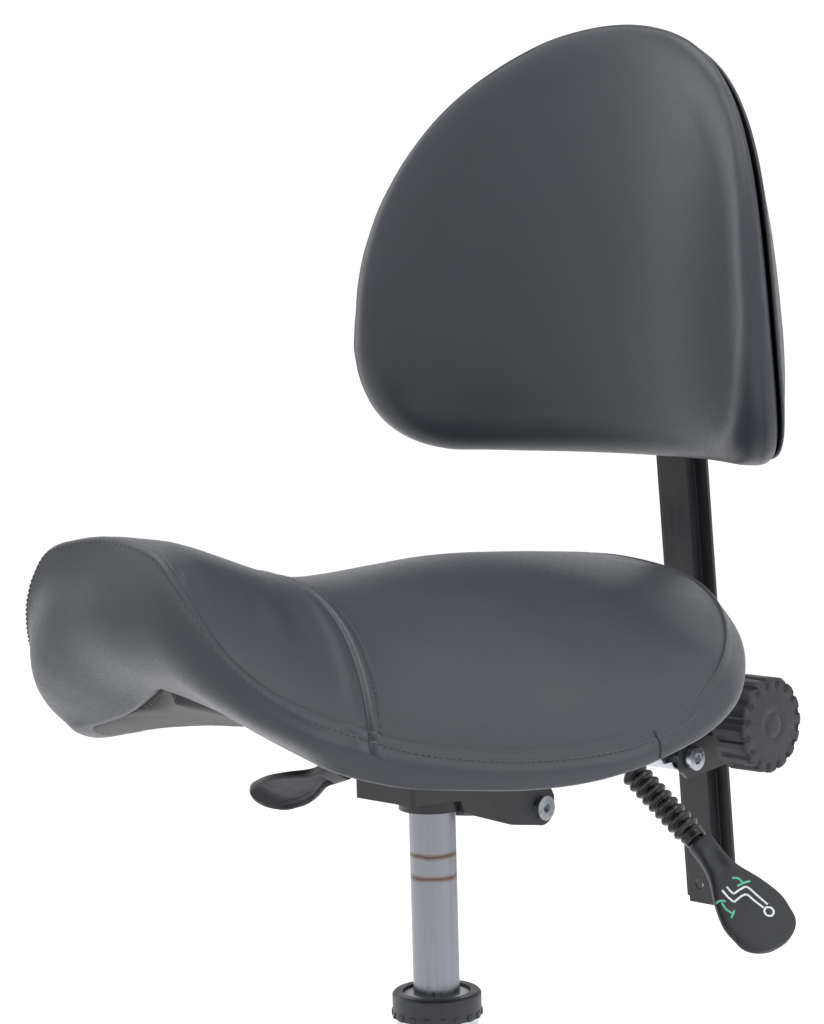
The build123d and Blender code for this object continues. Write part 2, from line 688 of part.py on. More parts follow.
def build_clamp():
    frame = lean_plane()
    across = Plane(origin=frame.origin, x_dir=frame.y_dir, z_dir=(1, 0, 0))
    pivot = in_lean(*BACK_PIVOT)
    stud = in_lean(*STUD)
    guide_front, guide_rear = -12.0, 5.5
    inside = CLAMP_X - SHEET
    with BuildPart() as housing:
        with BuildSketch(across):
            with BuildLine():
                Polyline((guide_rear + SHEET, -30), (guide_rear + SHEET, 30), (-34, 30), (-52, 4),
                         (-54, -24), (-48, -30), close=True)
            make_face()
        extrude(amount=CLAMP_X, both=True)
        fillet(housing.edges().filter_by(lambda e: abs(e.length - 2 * CLAMP_X) < 0.01), 3)
        with BuildSketch(frame.offset(-40)):
            with Locations((0, (guide_front + guide_rear) / 2)):
                Rectangle(2 * inside, guide_rear - guide_front)
            with Locations((0, guide_front - 2.5 - 30)):
                Rectangle(2 * inside, 60)
        extrude(amount=80, mode=Mode.SUBTRACT)
        with BuildSketch(across):
            with Locations(pivot):
                Circle(STUD_R + RUN)
            with Locations(stud):
                Circle(STUD_R + RUN)
        extrude(amount=40, both=True, mode=Mode.SUBTRACT)
    save(housing.part, "clamp_housing")

    with BuildPart() as guide:
        with BuildSketch(frame.offset(-30)):
            with Locations((0, (guide_front + guide_rear) / 2)):
                Rectangle(2 * inside, guide_rear - guide_front)
            with Locations((0, (BAR_SHEET - RIB_DEPTH) / 2)):
                Rectangle(2 * (BAR_HALF + AIR), BAR_SHEET + RIB_DEPTH + 2 * AIR, mode=Mode.SUBTRACT)
        extrude(amount=60)
    save(guide.part, "bar_guide")

    sy, sz = STUD
    with BuildPart() as nut:
        with BuildSketch(side_plane(-CLAMP_X)):
            with Locations((sy, sz)):
                RegularPolygon(7.5, 6)
                Circle(STUD_R + RUN, mode=Mode.SUBTRACT)
        extrude(amount=-6.5)
    save(nut.part, "clamp_nut")
    with BuildPart() as rod:
        with BuildSketch(side_plane(-CLAMP_X - 9)):
            with Locations((sy, sz)):
                Circle(STUD_R)
        extrude(amount=2 * CLAMP_X + 9 + 26)
    save(rod.part, "knob_stud")

    boss_x, rim_x, face_x = CLAMP_X + AIR, 47.0, 75.0
    with BuildPart() as knob:
        with BuildSketch(side_plane(boss_x)):
            with Locations((sy, sz)):
                Circle(12)
        extrude(amount=rim_x - boss_x)
        with BuildSketch(side_plane(rim_x)):
            with Locations((sy, sz)):
                RegularPolygon(KNOB_R, KNOB_FACES)
        extrude(amount=face_x - rim_x)
        face_edges = knob.faces().sort_by(Axis.X)[-1].edges()
        chamfer(face_edges, 1.5)
        with BuildSketch(side_plane(face_x)):
            with Locations((sy, sz)):
                with PolarLocations(KNOB_R, KNOB_FACES, start_angle=180 / KNOB_FACES):
                    SlotCenterToCenter(7, 2.2)
        extrude(amount=-1.6, mode=Mode.SUBTRACT)
        with BuildSketch(side_plane(boss_x)):
            with Locations((sy, sz)):
                Circle(STUD_R)
        extrude(amount=CLAMP_X * 2 + 26 - CLAMP_X - boss_x, mode=Mode.SUBTRACT)
    save(knob.part, "clamp_knob")


def build_upright():
    frame = lean_plane()
    with BuildPart() as bar:
        with BuildSketch(frame.offset(BAR_LOW)):
            with BuildLine():
                wall = RIB_HALF - BAR_SHEET
                Polyline((-BAR_HALF, 0), (-RIB_HALF, 0), (-RIB_HALF, -RIB_DEPTH), (RIB_HALF, -RIB_DEPTH),
                         (RIB_HALF, 0), (BAR_HALF, 0), (BAR_HALF, BAR_SHEET), (wall, BAR_SHEET),
                         (wall, BAR_SHEET - RIB_DEPTH), (-wall, BAR_SHEET - RIB_DEPTH), (-wall, BAR_SHEET),
                         (-BAR_HALF, BAR_SHEET), close=True)
            make_face()
        extrude(amount=BAR_HIGH - BAR_LOW)
        across = Plane(origin=frame.origin, x_dir=(1, 0, 0), z_dir=-frame.y_dir)
        with BuildSketch(across):
            with Locations(STOP_HOLE_AT):
                Circle(STOP_HOLE_R)
            with Locations((0, BAR_HIGH - 40), (0, BAR_HIGH - 110)):
                Circle(3)
        extrude(amount=20, both=True, mode=Mode.SUBTRACT)
    save(bar.part, "back_upright")


# ---------------------------------------------------------------- backrest
def back_ring(low_r, high_r, low_r2, high_r2, bottom=BACK_BOTTOM, top=BACK_BOTTOM + BACK_H):
    """A conical wall about the backrest's vertical axis, between two radii that change with height."""
    with BuildPart() as ring:
        with BuildSketch(Plane(origin=(0, BACK_AXIS_Y, 0), x_dir=(1, 0, 0), z_dir=(0, -1, 0))):
            with BuildLine():
                Polyline((low_r, bottom), (low_r2, bottom), (high_r2, top), (high_r, top), close=True)
            make_face()
        revolve(axis=Axis((0, BACK_AXIS_Y, 0), (0, 0, 1)), revolution_arc=180)
    return ring.part


def half_width(height):
    """Half of the D's width at a height, along the arc of the front face."""
    if height < BACK_WIDE_H:
        share = (BACK_WIDE_H - height) / BACK_WIDE_H
        return BACK_HALF_ARC - BACK_CORNER + BACK_CORNER * (1 - share ** CORNER_POWER) ** (1 / CORNER_POWER)
    share = (height - BACK_WIDE_H) / (BACK_H - BACK_WIDE_H)
    return BACK_HALF_ARC * (1 - share ** 2) ** 0.5


def d_block(inset):
    """The D moved in by inset, as a wedge of sectors about the backrest's axis."""
    inner_r, outer_r = BACK_FRONT_R[0] - 20, BACK_REAR_R[0] + 20
    sections = []
    for level in BACK_LEVELS:
        spread = degrees((half_width(level * BACK_H) - inset) / BACK_FRONT_R[0])
        height = inset + level * (BACK_H - 2 * inset)
        with BuildSketch(Plane.XY.offset(BACK_BOTTOM + height)) as sector:
            with BuildLine():
                outer = CenterArc((0, BACK_AXIS_Y), outer_r, 90 - spread, 2 * spread)
                inner = CenterArc((0, BACK_AXIS_Y), inner_r, 90 - spread, 2 * spread)
                Line(outer @ 0, inner @ 0)
                Line(outer @ 1, inner @ 1)
            make_face()
        sections.append(sector.sketch)
    with BuildPart() as block:
        loft(sections, ruled=True)
    return block.part


def d_layer(inner, outer, inset):
    """A layer of the backrest between two radii (each at the bottom and the top), inside the D."""
    ring = back_ring(inner[0], inner[1], outer[0], outer[1])
    block = d_block(inset)
    with BuildPart() as layer:
        add(ring)
        add(block, mode=Mode.INTERSECT)
    return layer.part


def build_backrest():
    def behind(distance):
        """Radii, at the bottom and the top, a distance behind the pad's rear face."""
        return BACK_REAR_R[0] + distance, BACK_REAR_R[1] + distance

    board_t, shell_t = 7.0, 3.0
    save(d_layer(BACK_FRONT_R, BACK_REAR_R, 0), "backrest_cushion")
    save(d_layer(behind(0.1), behind(board_t), 12), "backrest_board")
    shell_solid = d_layer(behind(0.1), behind(board_t + shell_t), 4)
    pocket = d_layer(behind(-1), behind(board_t), 11.7)
    with BuildPart() as shell:
        add(shell_solid)
        add(pocket, mode=Mode.SUBTRACT)
    save(shell.part, "backrest_shell")

    shell_core = cone_inside(*behind(board_t + shell_t + 0.1))
    frame = lean_plane()
    with BuildPart() as mount:
        with BuildSketch(frame.offset(BAR_HIGH - 130)):
            with Locations((0, -RIB_DEPTH - 12)):
                Rectangle(64, 24)
        extrude(amount=120)
        add(shell_core, mode=Mode.SUBTRACT)
        across = Plane(origin=frame.origin, x_dir=(1, 0, 0), z_dir=-frame.y_dir)
        with BuildSketch(across):
            with Locations((0, BAR_HIGH - 40), (0, BAR_HIGH - 110)):
                Circle(2.9)
        extrude(amount=40, both=True, mode=Mode.SUBTRACT)
    save(mount.part, "backrest_mount")
    with BuildPart() as screws:
        with BuildSketch(across):
            with Locations((0, BAR_HIGH - 40), (0, BAR_HIGH - 110)):
                Circle(2.9)
        extrude(amount=RIB_DEPTH + 8)
        with BuildSketch(across.offset(RIB_DEPTH - BAR_SHEET)):
            with Locations((0, BAR_HIGH - 40), (0, BAR_HIGH - 110)):
                Circle(5.5)
        extrude(amount=-4)
        with BuildSketch(across):
            with Locations((0, BAR_HIGH - 40), (0, BAR_HIGH - 110)):
                Circle(6)
        extrude(amount=RIB_DEPTH - BAR_SHEET - 4, mode=Mode.SUBTRACT)
    save(screws.part, "backrest_screws")


def cone_inside(low_r, high_r):
    """Everything inside a conical wall about the backrest's axis."""
    with BuildPart() as cone:
        with BuildSketch(Plane(origin=(0, BACK_AXIS_Y, 0), x_dir=(0, 1, 0), z_dir=(1, 0, 0))):
            with BuildLine():
                slope = (high_r - low_r) / BACK_H
                Polyline((0, BACK_BOTTOM - 40), (low_r - 40 * slope, BACK_BOTTOM - 40),
                         (high_r + 40 * slope, BACK_BOTTOM + BACK_H + 40), (0, BACK_BOTTOM + BACK_H + 40),
                         close=True)
            make_face()
        revolve(axis=Axis((0, BACK_AXIS_Y, 0), (0, 0, 1)))
    return cone.part


build_base()
for caster in range(LEGS):
    build_caster(caster)
build_column()
build_mechanism()
build_levers()
build_seat()
build_clamp()
build_upright()
build_backrest()
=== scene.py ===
from math import cos, pi, radians, sin

import bmesh
import bpy
import numpy as np
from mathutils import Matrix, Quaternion, Vector, noise
from mathutils.bvhtree import BVHTree


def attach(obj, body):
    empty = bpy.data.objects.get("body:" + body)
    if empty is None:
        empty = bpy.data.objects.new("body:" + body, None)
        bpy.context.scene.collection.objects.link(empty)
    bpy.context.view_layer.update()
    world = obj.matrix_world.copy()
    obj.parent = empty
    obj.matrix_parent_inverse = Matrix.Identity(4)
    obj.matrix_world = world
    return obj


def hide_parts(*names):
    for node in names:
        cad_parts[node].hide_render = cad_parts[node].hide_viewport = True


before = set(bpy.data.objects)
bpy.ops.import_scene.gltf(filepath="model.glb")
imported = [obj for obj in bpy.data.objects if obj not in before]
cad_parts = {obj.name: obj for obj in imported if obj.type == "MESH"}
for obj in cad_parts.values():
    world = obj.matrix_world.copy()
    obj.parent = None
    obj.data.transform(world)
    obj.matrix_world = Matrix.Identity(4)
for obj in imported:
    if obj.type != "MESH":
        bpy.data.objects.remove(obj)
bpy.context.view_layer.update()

MM = 0.001


# ---------------------------------------------------------------- materials
class Finish:
    """A procedural material under construction. Its textures read object coordinates, in metres."""

    def __init__(self, name, color, rough, metal=0.0, **shader):
        self.material = bpy.data.materials.new(name)
        self.material.use_nodes = True
        self.nodes = self.material.node_tree.nodes
        self.links = self.material.node_tree.links
        self.shader = self.nodes["Principled BSDF"]
        self.shader.inputs["Base Color"].default_value = (*color, 1)
        self.shader.inputs["Roughness"].default_value = rough
        self.shader.inputs["Metallic"].default_value = metal
        for socket, value in shader.items():
            self.shader.inputs[socket.replace("_", " ")].default_value = value
        self.place = self.nodes.new("ShaderNodeTexCoord").outputs["Object"]
        self.last_bump = None

    def node(self, kind, inputs, **settings):
        node = self.nodes.new(kind)
        for name, value in settings.items():
            setattr(node, name, value)
        for name, value in inputs.items():
            if isinstance(value, bpy.types.NodeSocket):
                self.links.new(value, node.inputs[name])
            else:
                node.inputs[name].default_value = value
        return node

    def stretched(self, x, y, z):
        """Object coordinates scaled along each axis."""
        return self.node("ShaderNodeMapping", {"Vector": self.place, "Scale": (x, y, z)}).outputs[0]

    def noise(self, scale, detail=3.0, place=None):
        return self.node("ShaderNodeTexNoise", {"Vector": place or self.place, "Scale": scale,
                                                "Detail": detail}).outputs["Fac"]

    def cells(self, scale, feature="F1", place=None):
        return self.node("ShaderNodeTexVoronoi", {"Vector": place or self.place, "Scale": scale},
                         feature=feature).outputs["Distance"]

    def waves(self, scale, axis, distortion=0.0, place=None):
        return self.node("ShaderNodeTexWave", {"Vector": place or self.place, "Scale": scale,
                                               "Distortion": distortion},
                         bands_direction=axis).outputs["Fac"]

    def height(self):
        """The Z coordinate, in metres."""
        return self.node("ShaderNodeSeparateXYZ", {"Vector": self.place}).outputs["Z"]

    def math(self, operation, a, b=0.0):
        node = self.node("ShaderNodeMath", {}, operation=operation)
        for socket, value in zip(node.inputs, (a, b)):
            if isinstance(value, bpy.types.NodeSocket):
                self.links.new(value, socket)
            else:
                socket.default_value = value
        return node.outputs[0]

    def spread(self, value, low, high, to_low, to_high):
        """Value, moved from the range low..high to another range."""
        return self.node("ShaderNodeMapRange", {"Value": value, "From Min": low, "From Max": high,
                                                "To Min": to_low, "To Max": to_high}).outputs[0]

    def colors(self, value, stops):
        """A colour that runs through (place, colour) stops as value goes from 0 to 1."""
        node = self.node("ShaderNodeValToRGB", {"Fac": value})
        ramp = node.color_ramp
        while len(ramp.elements) < len(stops):
            ramp.elements.new(0.5)
        for element, (place, color) in zip(ramp.elements, stops):
            element.position = place
            element.color = (*color, 1)
        self.links.new(node.outputs[0], self.shader.inputs["Base Color"])
        return self

    def roughness(self, value, low, high):
        """Roughness that runs from low to high as value goes over the middle of its range."""
        self.links.new(self.spread(value, 0.3, 0.7, low, high), self.shader.inputs["Roughness"])
        return self

    def bump(self, value, depth, strength=1.0):
        """Relief of a depth in millimetres, added to the relief so far."""
        node = self.node("ShaderNodeBump", {"Height": value, "Distance": depth * MM, "Strength": strength})
        if self.last_bump:
            self.links.new(self.last_bump, node.inputs["Normal"])
        self.last_bump = node.outputs[0]
        self.links.new(self.last_bump, self.shader.inputs["Normal"])
        return self


def shade(color, factor):
    return tuple(min(1.0, channel * factor) for channel in color)


def leatherette():
    """Dark grey upholstery: fine pebble grain with tiny creases, satin."""
    grey = (0.0255, 0.029, 0.0365)
    finish = Finish("leatherette", grey, 0.45, Specular_IOR_Level=0.42, Coat_Weight=0.06,
                    Coat_Roughness=0.35)
    cloud = finish.noise(14, 5)
    finish.colors(cloud, [(0.25, shade(grey, 0.92)), (0.75, shade(grey, 1.08))])
    finish.roughness(finish.noise(420, 4), 0.4, 0.5)
    finish.bump(finish.cells(1250, "DISTANCE_TO_EDGE"), 0.09, 0.55)
    finish.bump(finish.noise(2600, 2), 0.03, 0.5)
    return finish.bump(finish.noise(260, 4), 0.08, 0.35).material


def chrome():
    finish = Finish("chrome", (0.42, 0.43, 0.45), 0.07, 1.0)
    haze = finish.noise(38, 5)
    finish.colors(haze, [(0.3, (0.38, 0.39, 0.41)), (0.7, (0.46, 0.47, 0.49))])
    return finish.roughness(finish.noise(90, 6), 0.05, 0.13).bump(finish.noise(60, 2), 0.02, 0.2).material


def brushed_cylinder():
    """Ground steel with fine rings from turning, and two heat marks round it."""
    finish = Finish("brushed_cylinder", (0.62, 0.64, 0.67), 0.32, 1.0, Anisotropic=0.35)
    fine = finish.noise(1.0, 3, finish.stretched(30, 30, 2600))
    streak = finish.noise(1.0, 4, finish.stretched(420, 420, 9))
    wander = finish.spread(finish.noise(60, 3), 0, 1, -0.0011, 0.0011)
    level = finish.math("ADD", finish.height(), wander)
    low, high = 0.395, 0.440
    share = finish.spread(level, low, high, 0.0, 1.0)
    steel, edge, brown = (0.22, 0.23, 0.25), (0.17, 0.15, 0.14), (0.09, 0.06, 0.045)

    def mark(z):
        at, half = (z - low) / (high - low), 0.026
        return [(at - 2 * half, steel), (at - half, edge), (at, brown), (at + half, edge),
                (at + 2 * half, steel)]

    finish.colors(share, mark(0.4105) + mark(0.424))
    finish.roughness(streak, 0.24, 0.42)
    return finish.bump(fine, 0.02, 0.5).bump(streak, 0.02, 0.3).material


def zinc_steel():
    """Zinc plating, faintly blue and clouded."""
    finish = Finish("zinc_steel", (0.48, 0.51, 0.54), 0.28, 1.0)
    finish.colors(finish.noise(60, 3), [(0.3, (0.42, 0.45, 0.48)), (0.6, (0.48, 0.51, 0.54)),
                                        (0.8, (0.52, 0.52, 0.51))])
    return finish.roughness(finish.noise(300, 3), 0.22, 0.3).bump(finish.noise(900, 3), 0.02, 0.25).material


def black_steel():
    """Satin powder coat with orange peel, a little lighter in places at random."""
    finish = Finish("black_steel", (0.009, 0.0092, 0.011), 0.38, Specular_IOR_Level=0.45)
    finish.colors(finish.noise(45, 6), [(0.3, (0.008, 0.008, 0.01)), (0.75, (0.014, 0.0145, 0.017))])
    finish.roughness(finish.noise(70, 6), 0.3, 0.46)
    return finish.bump(finish.noise(650, 2), 0.05, 0.5).material


def black_plastic():
    """Moulded plastic with a fine spark-eroded texture."""
    finish = Finish("black_plastic", (0.016, 0.017, 0.02), 0.42, Specular_IOR_Level=0.45)
    finish.colors(finish.noise(30, 5), [(0.3, (0.0105, 0.0115, 0.0145)), (0.7, (0.016, 0.0175, 0.022))])
    finish.roughness(finish.noise(160, 4), 0.38, 0.52)
    return finish.bump(finish.noise(2200, 2), 0.04, 0.5).material


def pale_plastic():
    finish = Finish("pale_plastic", (0.6, 0.63, 0.66), 0.5)
    finish.colors(finish.noise(60, 4), [(0.3, (0.55, 0.58, 0.61)), (0.7, (0.66, 0.69, 0.71))])
    return finish.roughness(finish.noise(200, 3), 0.42, 0.55).bump(finish.noise(1500, 2), 0.02, 0.4).material


def boot_rubber():
    finish = Finish("boot_rubber", (0.008, 0.0085, 0.01), 0.26, Specular_IOR_Level=0.45)
    finish.colors(finish.noise(90, 4), [(0.3, (0.006, 0.0065, 0.008)), (0.7, (0.011, 0.0115, 0.0135))])
    return finish.roughness(finish.noise(260, 4), 0.2, 0.34).bump(finish.noise(800, 3), 0.03, 0.4).material


def mesh_lining():
    """Open black spunbond: a fine square weave with loose fibres."""
    finish = Finish("mesh_lining", (0.02, 0.02, 0.023), 0.85, Sheen_Weight=0.25)
    across = finish.waves(420, "X", 0.6)
    along = finish.waves(420, "Y", 0.6)
    weave = finish.math("MULTIPLY", across, along)
    finish.colors(weave, [(0.1, (0.012, 0.012, 0.014)), (0.8, (0.05, 0.05, 0.055))])
    return finish.bump(weave, 0.25, 0.9).bump(finish.noise(900, 4), 0.1, 0.5).material


def plywood():
    """Beech plywood: veneer grain, with the plies showing as thin lines on the edges."""
    finish = Finish("plywood", (0.55, 0.42, 0.28), 0.6)
    grain = finish.noise(1.0, 6, finish.stretched(180, 12, 180))
    ply = finish.waves(105, "Z", 0.4)
    both = finish.math("ADD", finish.math("MULTIPLY", grain, 0.7), finish.math("MULTIPLY", ply, 0.3))
    finish.colors(both, [(0.25, (0.33, 0.22, 0.13)), (0.5, (0.55, 0.41, 0.26)), (0.8, (0.68, 0.54, 0.37))])
    return finish.bump(grain, 0.12, 0.6).material


def wheel_nylon():
    finish = Finish("wheel_nylon", (0.03, 0.03, 0.034), 0.4)
    finish.colors(finish.noise(80, 6), [(0.35, (0.022, 0.022, 0.025)), (0.7, (0.055, 0.053, 0.05))])
    return finish.roughness(finish.noise(120, 5), 0.32, 0.6).bump(finish.noise(700, 4), 0.06, 0.5).material


def thread():
    finish = Finish("thread", (0.02, 0.022, 0.028), 0.6, Sheen_Weight=0.2)
    finish.colors(finish.noise(900, 3), [(0.3, (0.014, 0.015, 0.02)), (0.7, (0.035, 0.038, 0.046))])
    return finish.bump(finish.noise(3000, 2), 0.08, 0.6).material


def print_ink(name, color):
    """Screen-printed ink, slightly uneven."""
    finish = Finish(name, color, 0.45)
    finish.colors(finish.noise(900, 4), [(0.3, shade(color, 0.8)), (0.7, shade(color, 1.1))])
    return finish.bump(finish.noise(1800, 2), 0.02, 0.5).material


FINISHES = {make.__name__: make() for make in (
    chrome, brushed_cylinder, zinc_steel, black_steel, black_plastic, pale_plastic, boot_rubber,
    leatherette, mesh_lining, plywood, wheel_nylon, thread)}
WHITE_INK = print_ink("white_ink", (0.75, 0.78, 0.8))
GREEN_INK = print_ink("green_ink", (0.1, 0.52, 0.33))


# ---------------------------------------------------------------- meshes
def piece(name, points, faces, finish, body, stands_for=(), subdivide=0):
    """A smooth mesh object from points in millimetres, riding on a body."""
    mesh = bpy.data.meshes.new(name)
    mesh.from_pydata((np.array(points, float) * MM).tolist(), [], faces)
    work = bmesh.new()
    work.from_mesh(mesh)
    bmesh.ops.recalc_face_normals(work, faces=work.faces)
    work.to_mesh(mesh)
    work.free()
    mesh.shade_smooth()
    mesh.materials.append(FINISHES[finish] if isinstance(finish, str) else finish)
    made = bpy.data.objects.new(name, mesh)
    bpy.context.scene.collection.objects.link(made)
    if subdivide:
        modifier = made.modifiers.new("subdivision", "SUBSURF")
        modifier.levels = modifier.render_levels = subdivide
        modifier.boundary_smooth = "PRESERVE_CORNERS"
        apply_modifiers(made)
    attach(made, body)
    if stands_for:
        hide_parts(*stands_for)
    return made


def apply_modifiers(made):
    """The object's mesh becomes what its modifiers make of it."""
    bpy.context.view_layer.update()
    graph = bpy.context.evaluated_depsgraph_get()
    mesh = bpy.data.meshes.new_from_object(made.evaluated_get(graph))
    made.modifiers.clear()
    made.data = mesh


def vertices(mesh):
    """A mesh's vertices, in millimetres."""
    flat = np.empty(len(mesh.vertices) * 3)
    mesh.vertices.foreach_get("co", flat)
    return flat.reshape(-1, 3) / MM


def set_vertices(mesh, points):
    mesh.vertices.foreach_set("co", (points * MM).ravel())
    mesh.update()


def curve_at(points, share, mirrored=False):
    """Places on a smooth curve through points; share runs from 0 at the first to 1 at the last.
    A mirrored curve carries on past both ends as its reflection in x."""
    points = np.array(points, float)
    before, after = 2 * points[0] - points[1], 2 * points[-1] - points[-2]
    if mirrored:
        flip = np.array([-1] + [1] * (points.shape[1] - 1))
        before, after = points[1] * flip, points[-2] * flip
    padded = np.vstack([before, points, after])
    position = np.clip(np.asarray(share, float) * (len(points) - 1), 0, len(points) - 1 - 1e-9)
    index = position.astype(int)
    f = (position - index)[:, None]
    a, b, c, d = padded[index], padded[index + 1], padded[index + 2], padded[index + 3]
    square, cube = 2 * a - 5 * b + 4 * c - d, 3 * b - a - 3 * c + d
    return 0.5 * (2 * b + (c - a) * f + square * f ** 2 + cube * f ** 3)


def even_shares(points, count, mirrored=False):
    """Shares at which the curve through points has equal steps along it."""
    fine = np.linspace(0, 1, 3000)
    steps = np.linalg.norm(np.diff(curve_at(points, fine, mirrored), axis=0), axis=1)
    length = np.concatenate([[0], np.cumsum(steps)])
    return np.interp(np.linspace(0, length[-1], count), length, fine)


def whole(half):
    """A closed ring from its +X half, which runs from one point on x = 0 to another."""
    return np.vstack([half, half[-2:0:-1] * (-1, 1, 1)])


def height_at(table, y):
    """Smooth height along the seat from (y, z) pairs."""
    table = np.array(table, float)
    fine = curve_at(table, np.linspace(0, 1, 400))
    return np.interp(y, fine[:, 0], fine[:, 1])


class Rings:
    """A surface made of closed rings, all with the same number of points, one outside another."""

    def __init__(self, around):
        self.around = around
        self.points = []
        self.faces = []
        self.last = None

    def ring(self, points):
        start = len(self.points)
        self.points += [tuple(p) for p in points]
        if self.last is not None:
            self.bridge(self.last, start)
        self.last = start
        return start

    def bridge(self, a, b):
        n = self.around
        self.faces += [(a + k, a + (k + 1) % n, b + (k + 1) % n, b + k) for k in range(n)]

    def spine(self, points):
        """Closes the middle with a line of points, one for each pair of mirrored ring points."""
        n = self.around
        start = len(self.points)
        self.points += [tuple(p) for p in points]
        at = [start + (k if k <= n // 2 else n - k) for k in range(n)]
        for k in range(n):
            quad = [self.last + k, self.last + (k + 1) % n, at[(k + 1) % n], at[k]]
            self.faces.append(tuple(dict.fromkeys(quad)))
        self.last = None

    def tip(self, point):
        """Closes a ring to one point."""
        n = self.around
        self.points.append(tuple(point))
        self.faces += [(self.last + k, self.last + (k + 1) % n, len(self.points) - 1) for k in range(n)]
        self.last = None


def puffed(points, faces, held, pressure, cap, frames=14):
    """Points after the shape is blown up as cloth, with the held points fixed. None moves past cap."""
    points = np.array(points, float)
    mesh = bpy.data.meshes.new("cloth")
    mesh.from_pydata((points * MM).tolist(), [], faces)
    cloth_object = bpy.data.objects.new("cloth", mesh)
    bpy.context.scene.collection.objects.link(cloth_object)
    group = cloth_object.vertex_groups.new(name="held")
    group.add([int(k) for k in held], 1.0, "REPLACE")
    cloth = cloth_object.modifiers.new("cloth", "CLOTH")
    settings = cloth.settings
    settings.quality = 6
    settings.mass = 0.3
    settings.vertex_group_mass = "held"
    settings.tension_stiffness = settings.compression_stiffness = 25
    settings.bending_stiffness = 2.0
    settings.shrink_min = 0.004
    settings.use_pressure = True
    settings.uniform_pressure_force = pressure
    settings.effector_weights.gravity = 0
    cloth.collision_settings.use_collision = False
    cloth.point_cache.frame_start, cloth.point_cache.frame_end = 1, frames
    scene = bpy.context.scene
    for step in range(1, frames + 1):
        scene.frame_set(step)
    graph = bpy.context.evaluated_depsgraph_get()
    blown = vertices(cloth_object.evaluated_get(graph).data)
    bpy.data.objects.remove(cloth_object)
    scene.frame_set(1)
    moved = blown - points
    length = np.linalg.norm(moved, axis=1, keepdims=True)
    return points + moved * np.tanh(length / cap) * cap / np.maximum(length, 1e-9)


def refine(made, near, cuts=1):
    """Splits the faces whose middles near() picks, so that a seam has points to lie on."""
    work = bmesh.new()
    work.from_mesh(made.data)
    chosen = [face for face in work.faces if near(face.calc_center_median() / MM)]
    edges = list({edge for face in chosen for edge in face.edges})
    bmesh.ops.subdivide_edges(work, edges=edges, cuts=cuts, use_grid_fill=True, smooth=0.0)
    work.to_mesh(made.data)
    work.free()
    made.data.shade_smooth()


def on_surface(tree, point, offset=0.0):
    """The nearest place on a surface, raised by offset, and the surface's normal there; in millimetres."""
    place, normal, _, _ = tree.find_nearest(Vector(point) * MM)
    return Vector(place) / MM + normal * offset, normal


def surface_tree(made):
    work = bmesh.new()
    work.from_mesh(made.data)
    bmesh.ops.recalc_face_normals(work, faces=work.faces)
    tree = BVHTree.FromBMesh(work)
    work.free()
    return tree


def stitches(name, path, tree, body, pitch=3.6, length=2.7, width=0.75):
    """Short raised threads along a path, each lying on the surface with its ends sunk into it."""
    path = np.array(path, float)
    steps = np.concatenate([[0], np.cumsum(np.linalg.norm(np.diff(path, axis=0), axis=1))])
    count = int(steps[-1] / pitch)
    points, faces = [], []
    around, along = 6, 5
    for k in range(count):
        middle = np.array([np.interp((k + 0.5) * pitch, steps, path[:, axis]) for axis in range(3)])
        ahead = np.array([np.interp((k + 0.5) * pitch + 0.5, steps, path[:, axis]) for axis in range(3)])
        centre, normal = on_surface(tree, middle)
        forward = Vector(ahead - middle)
        forward = (forward - normal * forward.dot(normal)).normalized()
        side = normal.cross(forward)
        base = len(points)
        for row in range(along + 1):
            t = row / along * 2 - 1
            round_r = width / 2 * (1 - 0.8 * t ** 4)
            lift = 0.22 - 0.5 * t ** 2
            spot = centre + forward * (t * length / 2) + normal * lift
            for j in range(around):
                turn = 2 * pi * j / around
                points.append(tuple(spot + (side * cos(turn) + normal * sin(turn)) * round_r))
        for row in range(along):
            for j in range(around):
                a, b = base + row * around + j, base + row * around + (j + 1) % around
                faces.append((a, b, b + around, a + around))
        faces.append(tuple(base + j for j in range(around)))
        faces.append(tuple(base + along * around + j for j in range(around)))
    return piece(name, points, faces, "thread", body)


# ---------------------------------------------------------------- seat
# The rim of the saddle on the +X side, from the middle of the nose to the middle of the rear:
# a point of the topstitch round the top panel, then the point under it on the band's lower edge.
RIM = [
    ((0, -246, 636), (0, -215, 554)), ((40, -249, 630), (28, -201, 544)),
    ((57, -249, 616), (43, -196, 537)), ((70, -245, 597), (57, -194, 531)),
    ((82, -235, 576), (72, -193, 526)), ((95, -219, 557), (89, -192, 521)),
    ((107, -200, 544), (105, -189, 516)), ((118, -177, 533), (118, -173, 509)),
    ((132, -152, 523), (131, -152, 503)), ((147, -122, 516), (147, -122, 499)),
    ((160, -92, 512), (160, -92, 496)), ((172, -60, 511), (173, -60, 496)),
    ((182, -30, 513), (184, -30, 500)), ((187, 4, 519), (189, 4, 507)),
    ((184, 34, 530), (188, 34, 514)), ((174, 64, 543), (178, 66, 522)),
    ((156, 92, 553), (160, 94, 530)), ((134, 116, 562), (138, 119, 539)),
    ((106, 138, 570), (108, 141, 547)), ((76, 153, 576), (76, 156, 552)),
    ((40, 163, 580), (40, 167, 556)), ((0, 167, 582), (0, 171, 558)),
]
CREST = [(-250, 634), (-225, 636), (-205, 632), (-180, 624), (-150, 614), (-120, 605), (-90, 601),
         (-50, 600), (0, 600), (50, 599), (100, 594), (140, 588), (170, 581)]
UNDER = [(-250, 560), (-228, 555), (-196, 540), (-155, 525), (-110, 513), (-60, 509), (0, 509),
         (64, 509), (110, 517), (145, 538), (175, 560)]
SEAT_HALF = 110           # steps round half of the rim
BAND_JOINT = (185.0, -12.0)     # where the side band's two lengths overlap, on each side
NOSE_Y, TAIL_Y = -200.0, 122.0
FLAP = 6.5                # from the seam down to the topstitch
